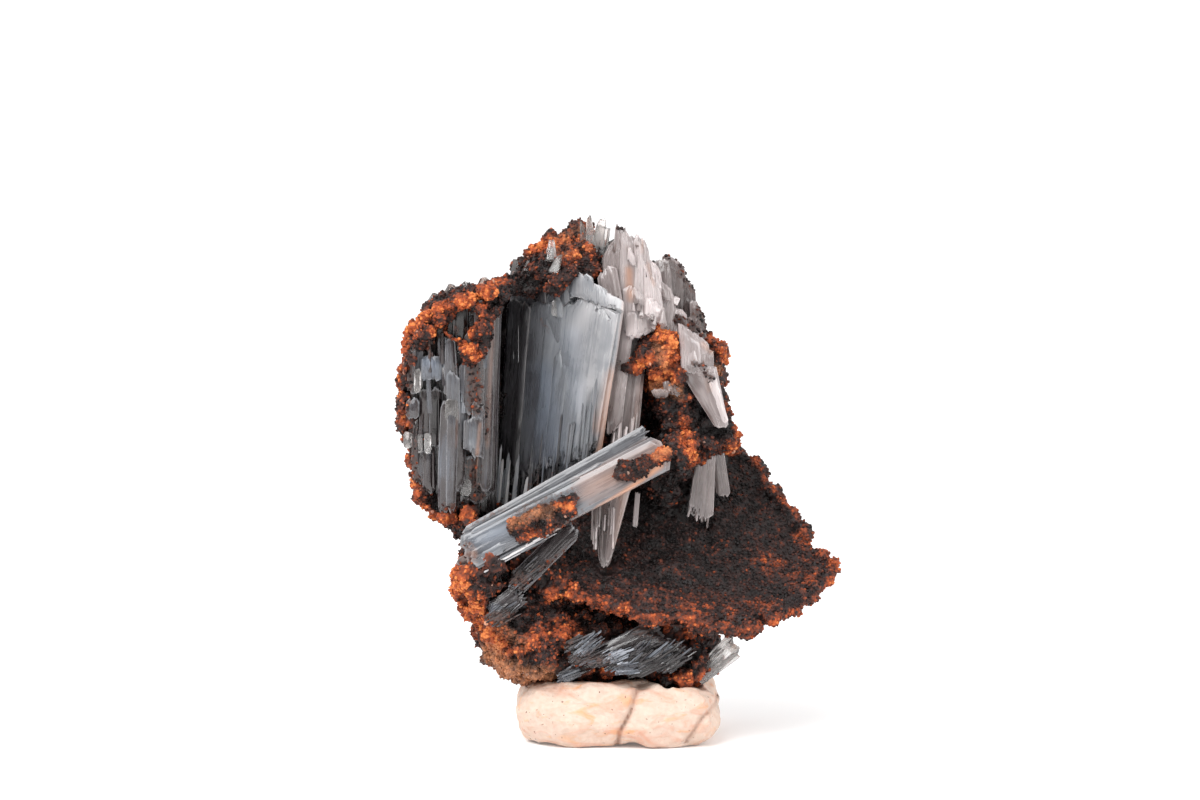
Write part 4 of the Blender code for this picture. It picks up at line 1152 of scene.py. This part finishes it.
def crumbled(obj, lumps, knobs, grit):
    """Melts the shape into a fine mesh and roughens it, less so on the ledge."""
    finish_step(obj, "REMESH", mode="VOXEL", voxel_size=FINE_VOXEL * MM)
    obj = without_bits(obj, LEAST_FACES)
    weigh(obj, "rough", 1 - 0.8 * on_shelf(places(obj)))
    dented(obj, LUMPS, lumps, 0.47, vertex_group="rough")
    dented(obj, KNOBS, -knobs, vertex_group="rough")
    dented(obj, GRIT, grit)
    obj.vertex_groups.clear()
    return obj


def write_height(obj):
    """How far each point stands over its neighbourhood: 1 on a knob, -1 in a pit."""
    even = finish_step(linked("even", obj.data), "SMOOTH", factor=0.6, iterations=14)
    outward = np.empty(len(obj.data.vertices) * 3, np.float32)
    obj.data.vertices.foreach_get("normal", outward)
    rise = ((places(obj) - places(even)) * outward.reshape(-1, 3)).sum(axis=1)
    write_field(obj, "height", np.clip(rise / 0.3, -1, 1))
    bpy.data.objects.remove(even, do_unlink=True)


crust_body = crumbled(joined("crust_body", [sewn_copy("crusted_matrix", "crust_body"), *lumps]), 1.5, 2.4, 0.3)
write_height(crust_body)
# where a lump is, and its size across, deep and high
PATCH_LUMPS = """
    -9.8 -9.1 22.4 1.3 0.3 0.8 | -8.4 -9.1 23.2 1.6 0.35 1.1 | -6.4 -8.9 23.9 1.4 0.35 1.1
    -4.9 -8.7 25 1.3 0.3 0.7 | -9.2 -9.1 21.7 1.2 0.3 0.6 | -7.4 -9.1 22 1 0.3 0.6 | -5.2 -8.8 23.4 1.2 0.3 0.6
    1 -7.6 27.8 1.5 0.8 0.8 | 2.6 -7.5 28.3 1.6 0.9 1 | 4.2 -7 28.9 1.3 0.8 0.8 | 0.7 -1.2 37.3 0.6 0.6 0.6
    1.6 -0.9 37.3 0.7 0.6 0.5 | 2.7 -0.6 37.6 0.8 0.6 0.5"""
patches = [lump(row[:3], row[3:], PATCH_SLANT) for row in rows(PATCH_LUMPS)]
crust_patches = crumbled(joined("crust_patches", patches), 0.9, 1.6, 0.3)
write_height(crust_patches)


def volume_of(mesh):
    """The room that a closed mesh takes up, in cubic millimetres."""
    mesh.calc_loop_triangles()
    corners = np.array([[mesh.vertices[v].co for v in t.vertices] for t in mesh.loop_triangles]) / MM
    return np.linalg.det(corners).sum() / 6


print("crust body:", len(crust_body.data.polygons), "faces; patches:", len(crust_patches.data.polygons))
print("room:", volume_of(crust_body.data), "against", volume_of(frame["nodes"]["crusted_matrix"].data))

# %% [markdown]
# ## Crumbs
# Crumbs a third of a millimetre across cover the crust. Geometry Nodes scatters them: points
# are spread with a least distance, an icosphere of twenty faces goes on each, and the
# instances are realized, so that the piece is plain mesh. The crust is covered in five
# regions, so that no piece grows too heavy. The patches and the dirty blades get some too.

# %% Scattering crumbs
def crumb_nodes(name, spacing, radius, spread, seed):
    """The node tree that scatters crumbs: spread is how much larger or smaller one may be, a share of its size."""
    tree = bpy.data.node_groups.new(name, "GeometryNodeTree")
    tree.interface.new_socket("Geometry", in_out="INPUT", socket_type="NodeSocketGeometry")
    tree.interface.new_socket("Geometry", in_out="OUTPUT", socket_type="NodeSocketGeometry")
    wire = Wire(tree)
    ground = wire.node("NodeGroupInput")
    cover = wire.node("GeometryNodeInputNamedAttribute", {"Name": "cover"}, data_type="FLOAT")
    points = wire.node("GeometryNodeDistributePointsOnFaces", {
        "Mesh": ground, "Distance Min": spacing * MM, "Density Max": 1.1 / (spacing * MM) ** 2,
        "Density Factor": cover, "Seed": seed}, distribute_method="POISSON")
    ball = wire.node("GeometryNodeMeshIcoSphere", {"Radius": radius * MM, "Subdivisions": 1})
    turn = wire.node("FunctionNodeRandomValue", {1: (6.28,) * 3, "Seed": seed + 1}, data_type="FLOAT_VECTOR")
    size = wire.node("FunctionNodeRandomValue", {0: (1 - spread,) * 3, 1: (1 + spread,) * 3, "Seed": seed + 2},
                     data_type="FLOAT_VECTOR")
    crumbs = wire.node("GeometryNodeInstanceOnPoints", {
        "Points": points, "Instance": ball, "Rotation": turn, "Scale": size})
    tint = wire.node("FunctionNodeRandomValue", {"Seed": seed + 3}, data_type="FLOAT")
    tinted = wire.node("GeometryNodeStoreNamedAttribute", {"Geometry": crumbs, "Name": "tint", "Value": tint},
                       data_type="FLOAT", domain="INSTANCE")
    wire.node("NodeGroupOutput", {"Geometry": wire.node("GeometryNodeRealizeInstances", {"Geometry": tinted})})
    return tree


def crumbs_on(seed, obj, name, cover, spacing, radius, spread):
    """Crumbs on the part of a body where cover is over zero."""
    copy = linked(name, obj.data)
    write_field(copy, "cover", cover)
    finish_step(copy, "NODES", node_group=crumb_nodes(name, spacing, radius, spread, seed))
    print(name, len(copy.data.polygons), "faces")
    return copy


# %% Where crumbs go
def open_to_air(obj, reach=1.0):
    """1 where a point of the crust sees no blade within reach along its normal, 0 where it is buried."""
    walls = [BVHTree.FromPolygons([v.co for v in node.data.vertices], [p.vertices for p in node.data.polygons])
             for key, node in frame["nodes"].items() if key != "crusted_matrix"]
    free = np.ones(len(obj.data.vertices))
    for index, vert in enumerate(obj.data.vertices):
        start = vert.co + vert.normal * 0.05 * MM
        if any(wall.ray_cast(start, vert.normal, reach * MM)[0] for wall in walls):
            free[index] = 0
    return free


spots = places(crust_body)
free = open_to_air(crust_body)
over_ledge = above_ledge(spots)
on_ledge = (over_ledge > -1.6) & (over_ledge < 1.2) & (spots[:, 0] > -4) & (spots[:, 2] > 8)
behind = ~on_ledge & (spots[:, 1] > 5.5)
below = ~on_ledge & ~behind & (spots[:, 2] < 19.5)
left = ~on_ledge & ~behind & ~below & (spots[:, 0] < -6)
right = ~on_ledge & ~behind & ~below & ~left


def soiled(obj, depth, least):
    """1 where the blade is dirty and nearer the front than depth."""
    return (read_field(obj, "soil") > least) * (places(obj)[:, 1] < depth)


crumbs = [crumbs_on(seed, *row) for seed, row in enumerate((
    # the body, the crumbs' name, where they go, their spacing, their radius and how unequal they are
    (crust_body, "crumbs_ledge", free * on_ledge, 0.28, 0.175, 0.42),
    (crust_body, "crumbs_behind", free * behind, 0.5, 0.27, 0.4),
    (crust_body, "crumbs_below", free * below, 0.28, 0.17, 0.6),
    (crust_body, "crumbs_left", free * left, 0.25, 0.16, 0.6),
    (crust_body, "crumbs_right", free * right, 0.26, 0.16, 0.6),
    (crust_patches, "crumbs_patches", np.ones(len(crust_patches.data.vertices)), 0.24, 0.15, 0.6),
    (stack_plates, "crumbs_stack", soiled(stack_plates, -2.6, 0.5), 0.32, 0.17, 0.7),
    (rear_plates, "crumbs_rear", soiled(rear_plates, 6.5, 0.45), 0.34, 0.19, 0.6),
    (cross_slab, "crumbs_cross", soiled(cross_slab, -8, 0.42), 0.45, 0.14, 0.7),
    (tall_splinter, "crumbs_tall", soiled(tall_splinter, 3, 0.4), 0.36, 0.15, 0.7),
    (right_slab, "crumbs_slab", soiled(right_slab, 2, 0.4), 0.36, 0.16, 0.7),
    (under_slab, "crumbs_under", soiled(under_slab, -6.5, 0.45), 0.34, 0.17, 0.7),
), start=1)]

# %% [markdown]
# ## Rust
# The bright orange places are strokes on the front drawing. Away from the front, slow waves
# stand in for them.

# %% Painting the rust
RUST = """
    -21.3 38.5 -20.5 41.2 -18.1 42.4 -15.2 43.4 0.8 0.66 | -15.2 43.2 -13.2 44.3 -11.3 45.7 0.8 0.78
    -11.7 44.7 -13.2 42.9 -14 40.7 0.7 0.62 | -15.1 40.2 -13.9 37.9 0.6 0.85
    -18 40.5 -16.5 40.2 -15.5 39.2 0.7 0.8 | -21.7 37.7 -21.9 35.7 -21.4 33.7 -21.3 30.7 -20.7 26.9 0.5 0.48
    -20.4 25.5 -19.3 23 -17.7 21.8 -14.3 22.1 0.7 0.6 | -8.4 48.7 -5.7 49.6 -4.1 49.8 0.7 0.9
    -4.2 49.7 -2.5 50.4 -1.4 51.1 0.8 0.55 | -5.7 47.5 -3.2 48.5 -1.9 49.7 0.9 0.6
    4.7 40.5 5.5 38.7 5.1 36.5 3.8 35.3 1.3 0.92 | 2.3 37.4 3.8 37.9 0.5 0.8 | 6.3 31.9 7.3 30.6 0.6 0.6
    6.7 30.3 7.7 27.5 0.8 0.85 | 9.6 39.9 11 37.9 0.7 0.7 | 12.1 32.4 12.2 29.5 0.5 0.7
    11 29.2 11.9 28.7 0.5 0.8
    11.1 28.2 13.3 28.4 14.5 27.4 14.9 26 16.1 24.5 17.5 23 18.5 21.5 19.5 19.7 0.35 0.8
    18.8 19.6 20.5 18.8 22.1 17 22.1 15.7 20.3 13.5 1 0.78 | 15.3 17.7 18.3 16.2 19.8 14.7 1.6 0.5
    -6.2 14.5 -1.7 13.8 3.3 12.3 8.3 11.4 13.3 10.9 18.3 12.5 1 0.58 | -1.7 14.7 6.3 13.2 14.3 13.2 1.4 0.4
    -16.1 16.5 -14.9 13.7 -12.9 10.7 -11.2 8.7 1.5 0.85 | -13.9 18.9 -9.7 19.7 1 0.5
    -8.7 9.7 -5.7 10.7 -2.7 8.7 1.6 0.62 | -1.7 6.9 3.3 7.7 8.3 10.9 0.9 0.5 | 5.1 6.9 7.3 5.4 8.9 6.1 1 0.58"""
OCHRE = """
    -12.7 8.2 -10.7 6.5 -7.2 5.7 1.6 0.9 | -11.7 11.2 -9.7 9.7 1.2 0.5 | 3.8 34.9 5.9 34.5 0.9 0.9
    9.9 37.1 10.3 36.5 0.5 0.8 | 4 38.9 4.7 37.2 0.8 0.6 | 4.3 38.2 5.1 38.7 0.5 0.5
    -6 49.6 -3.6 50.2 -1.8 50.4 1 0.5 | -5.4 48.2 -2.6 48.8 0.9 0.35"""
# painted shade: strokes that take the rust out of the crust in the recess beside the broad blade and in shaded hollows
# further right, so it stays dark there
SHADE_STROKES = """
    -10.8 45.5 -11.2 36 -11.4 25 1.5 0.4 | 2 22 4.6 24 6 26 2.2 0.35 | 4.4 33.4 5.8 31.8 0.8 0.25
    8.6 32.2 10.6 30.4 1.3 0.4"""


def paint_rust(obj, strokes=RUST, ochre=OCHRE):
    """Writes the crust's fields: rust by the strokes in front, less under the painted shade strokes, and by waves
    behind, and ochre.
    """
    points = places(obj)
    front = stroked(drawn(points), strokes) - stroked(drawn(points), SHADE_STROKES)
    x, y, z = points.T
    waves = np.sin(x * 0.55 + 1.1) * np.sin(z * 0.5 + x * 0.21) + 0.5 * np.sin(z * 1.3 + y * 0.7) * np.sin(x * 1.1)
    rear = np.clip(waves * 0.6, 0, 0.75)
    shelf = on_shelf(points)
    behind = np.clip((y - 5) / 5, 0, 1) * (z > 14) * (1 - shelf)
    write_field(obj, "rust", 0.18 - 0.06 * shelf + front * (1 - behind) * (0.7 - 0.15 * shelf) + rear * behind * 0.7)
    write_field(obj, "ochre", stroked(drawn(points), ochre))
    if "tint" not in obj.data.attributes:
        write_field(obj, "tint", np.full(len(points), EVEN_TINT))
    write_field(obj, "tint", EVEN_TINT + (read_field(obj, "tint") - EVEN_TINT) * (1 - 0.3 * shelf))


PATCH_RUST = """
    -9.2 20.6 -8 20.4 0.6 0.7 | -5.8 23.4 -4.6 23.2 0.5 0.9 | -10.6 22.6 -10.2 22.2 0.4 0.7
    3.9 28.2 5.2 28.9 0.8 1 | 1.9 36.9 3.2 37.2 0.6 0.9"""
PATCH_OCHRE = "-10.5 22 -7 22.8 1.4 0.55 | -8.2 22 -6 23 0.8 0.4 | 3.9 28.2 5 28.7 0.7 0.7"
dressed(crust_body, "iron_crust", "crusted_matrix")
for piece in (crust_patches, *crumbs):
    dressed(piece, "iron_crust")
for piece in (crust_body, crust_patches, *crumbs):
    paint_rust(piece, *((PATCH_RUST, PATCH_OCHRE) if "patches" in piece.name else ()))

# %% [markdown]
# ## The tack
# Mineral tack is a soft putty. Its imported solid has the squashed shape; here it is melted
# smooth, dented a little, and given the cream colour, the pink and orange smears and the dark
# specks that handling leaves in it.

# %% The tack and its finish
def tack_finish():
    """Cream putty with pink and orange smears, dark specks, and painted shade in its folds."""
    made, wire = new_finish("tack")
    spot = wire.node("ShaderNodeTexCoord", give="Object") * PER_MM
    fold = wire.field("fold")
    smear = noise(spot, 2.4, (1.8, 1, 0.7), detail=5, distortion=1.4)
    fine = noise(spot, 0.6, detail=3)
    speck = noise(spot, 0.33, detail=0)
    clean = fine.mixed(colour(190, 163, 145), colour(215, 195, 181))
    pinkish = (smear.ramp(0.5, 0.75) * 0.8).mixed(clean, colour(200, 142, 116))
    blush = noise(spot + (9, 4, 2), 1.8, (1.6, 1, 0.7), detail=4, distortion=0.8)
    orange = (blush.ramp(0.55, 0.72) * 0.75).mixed(pinkish, colour(212, 150, 98))
    dusty = (speck.ramp(0.77, 0.8) * fine.ramp(0.4, 0.6)).mixed(orange, colour(120, 84, 70))
    # painted shade: the folds are darkened
    painted = (fold * 0.75).mixed(dusty, colour(160, 112, 92))
    bump = wire.node("ShaderNodeBump", {"Height": smear * 0.8 + fine * 0.4, "Distance": 0.0006, "Strength": 0.7})
    shader = wire.node("ShaderNodeBsdfPrincipled", {
        "Base Color": painted, "Roughness": 0.62, "Normal": bump, "Subsurface Weight": 0.15,
        "Subsurface Radius": (0.002, 0.0012, 0.0008)})
    wire.node("ShaderNodeOutputMaterial", {"Surface": shader})
    return made


finishes["tack"] = tack_finish()
tack_blob = sewn_copy("mineral_tack", "tack_blob")
finish_step(tack_blob, "REMESH", mode="VOXEL", voxel_size=FINE_VOXEL * MM)
finish_step(tack_blob, "SMOOTH", factor=0.5, iterations=12)
dented(tack_blob, grain_texture("thumb", 3.6, depth=1), 1.3, 0.62)
dented(tack_blob, grain_texture("skin", 0.9, depth=3), 0.25)
spots = places(tack_blob)
FOLD = "2.1 5.1 1.3 2.6 0.3 0.8 0 -0.6 0.24 1 | 10.2 3.9 8.4 2 6.8 -0.3 0.22 0.7"
seam = stroked(drawn(spots), FOLD) * (spots[:, 1] < 0)
spots[:, 1] += seam * 0.7
spots[:, 2] = np.maximum(spots[:, 2], 0)
low, high = (np.array(corner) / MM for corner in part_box("mineral_tack"))
write_places(tack_blob, np.clip(spots, low, high))
# the fold field, which the finish darkens as painted shade
write_field(tack_blob, "fold", seam * 0.8)
bpy.ops.object.shade_smooth()
dressed(tack_blob, "tack", "mineral_tack")

# %% [markdown]
# ## Smoothing, helpers away, and the studio
# The bars were only patterns to copy. The floor and the world are white, one large soft light
# comes from the upper left, and a small one fills in from the right.

# %% Smooth shading, and the helpers removed
SMOOTH_BELOW = math.radians(35)
for smooth in (stack_plates, broad_slab, tall_splinter, cross_slab, under_slab, right_slab, fan_spray, base_laths,
               back_fan, crust_body, crust_patches):
    only(smooth)
    bpy.ops.object.shade_smooth_by_angle(angle=SMOOTH_BELOW)
for helper in (*BARS, grain_guide):
    bpy.data.objects.remove(helper, do_unlink=True)

# %% Floor, lights and camera
bpy.ops.mesh.primitive_plane_add(size=3.0, location=(0, 0, 0))
floor = bpy.context.object
floor.name = "floor"
paper, wire = new_finish("paper")
wire.node("ShaderNodeOutputMaterial", {"Surface": wire.node(
    "ShaderNodeBsdfPrincipled", {"Base Color": (0.93, 0.92, 0.92, 1), "Roughness": 0.5,
                                 "Emission Color": (1, 1, 1, 1), "Emission Strength": 0.09})})
floor.data.materials.append(paper)
floor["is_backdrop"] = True

world = bpy.data.worlds.new("studio")
bpy.context.scene.world = world
world.use_nodes = True
sky = Wire(world.node_tree)
way = sky.node("ShaderNodeTexCoord", give="Generated")
forward = sky.node("ShaderNodeSeparateXYZ", {"Vector": way}, give="Y")
seen = sky.node("ShaderNodeLightPath", give="Is Camera Ray")
tent = (forward * -1.0).ramp(0.1, 0.85).mixed((1, 1, 1, 1), (0.36, 0.36, 0.36, 1))
backdrop = world.node_tree.nodes["Background"]
backdrop.inputs["Strength"].default_value = 1.1
world.node_tree.links.new(seen.mixed(tent, (1, 1, 1, 1)).end, backdrop.inputs["Color"])
bpy.context.scene.view_settings.view_transform = "Standard"


def soft_light(name, place, target, size, power):
    """A square light that looks from its place to the target."""
    bpy.ops.object.light_add(type="AREA", location=place)
    made = bpy.context.object
    made.name = name
    made.data.size = size
    made.data.energy = power
    made.rotation_euler = (Vector(target) - Vector(place)).to_track_quat("-Z", "Y").to_euler()


soft_light("key", (-0.3, -0.4, 0.6), (0, 0, 0.025), 0.6, 7.5)
soft_light("fill", (0.5, -0.3, 0.25), (0, 0, 0.025), 0.3, 1.5)

TARGET = Vector((-0.0017, 0, 0.0339))
CAMERA_AWAY = 0.5
LENS, SENSOR = 150, 36
look = Vector((0, math.cos(LOOK_DOWN), -math.sin(LOOK_DOWN)))
bpy.ops.object.camera_add(location=TARGET - CAMERA_AWAY * look)
camera = bpy.context.object
camera.data.lens, camera.data.sensor_width = LENS, SENSOR
camera.rotation_euler = (TARGET - camera.location).to_track_quat("-Z", "Y").to_euler()
bpy.context.scene.camera = camera

# %% The two boxes, for comparison
dressed_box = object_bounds()
for key, box in (("packed", cad_box), ("dressed", dressed_box)):
    print(key, "box in millimetres:", [round(c / MM, 2) for corner in box for c in corner])
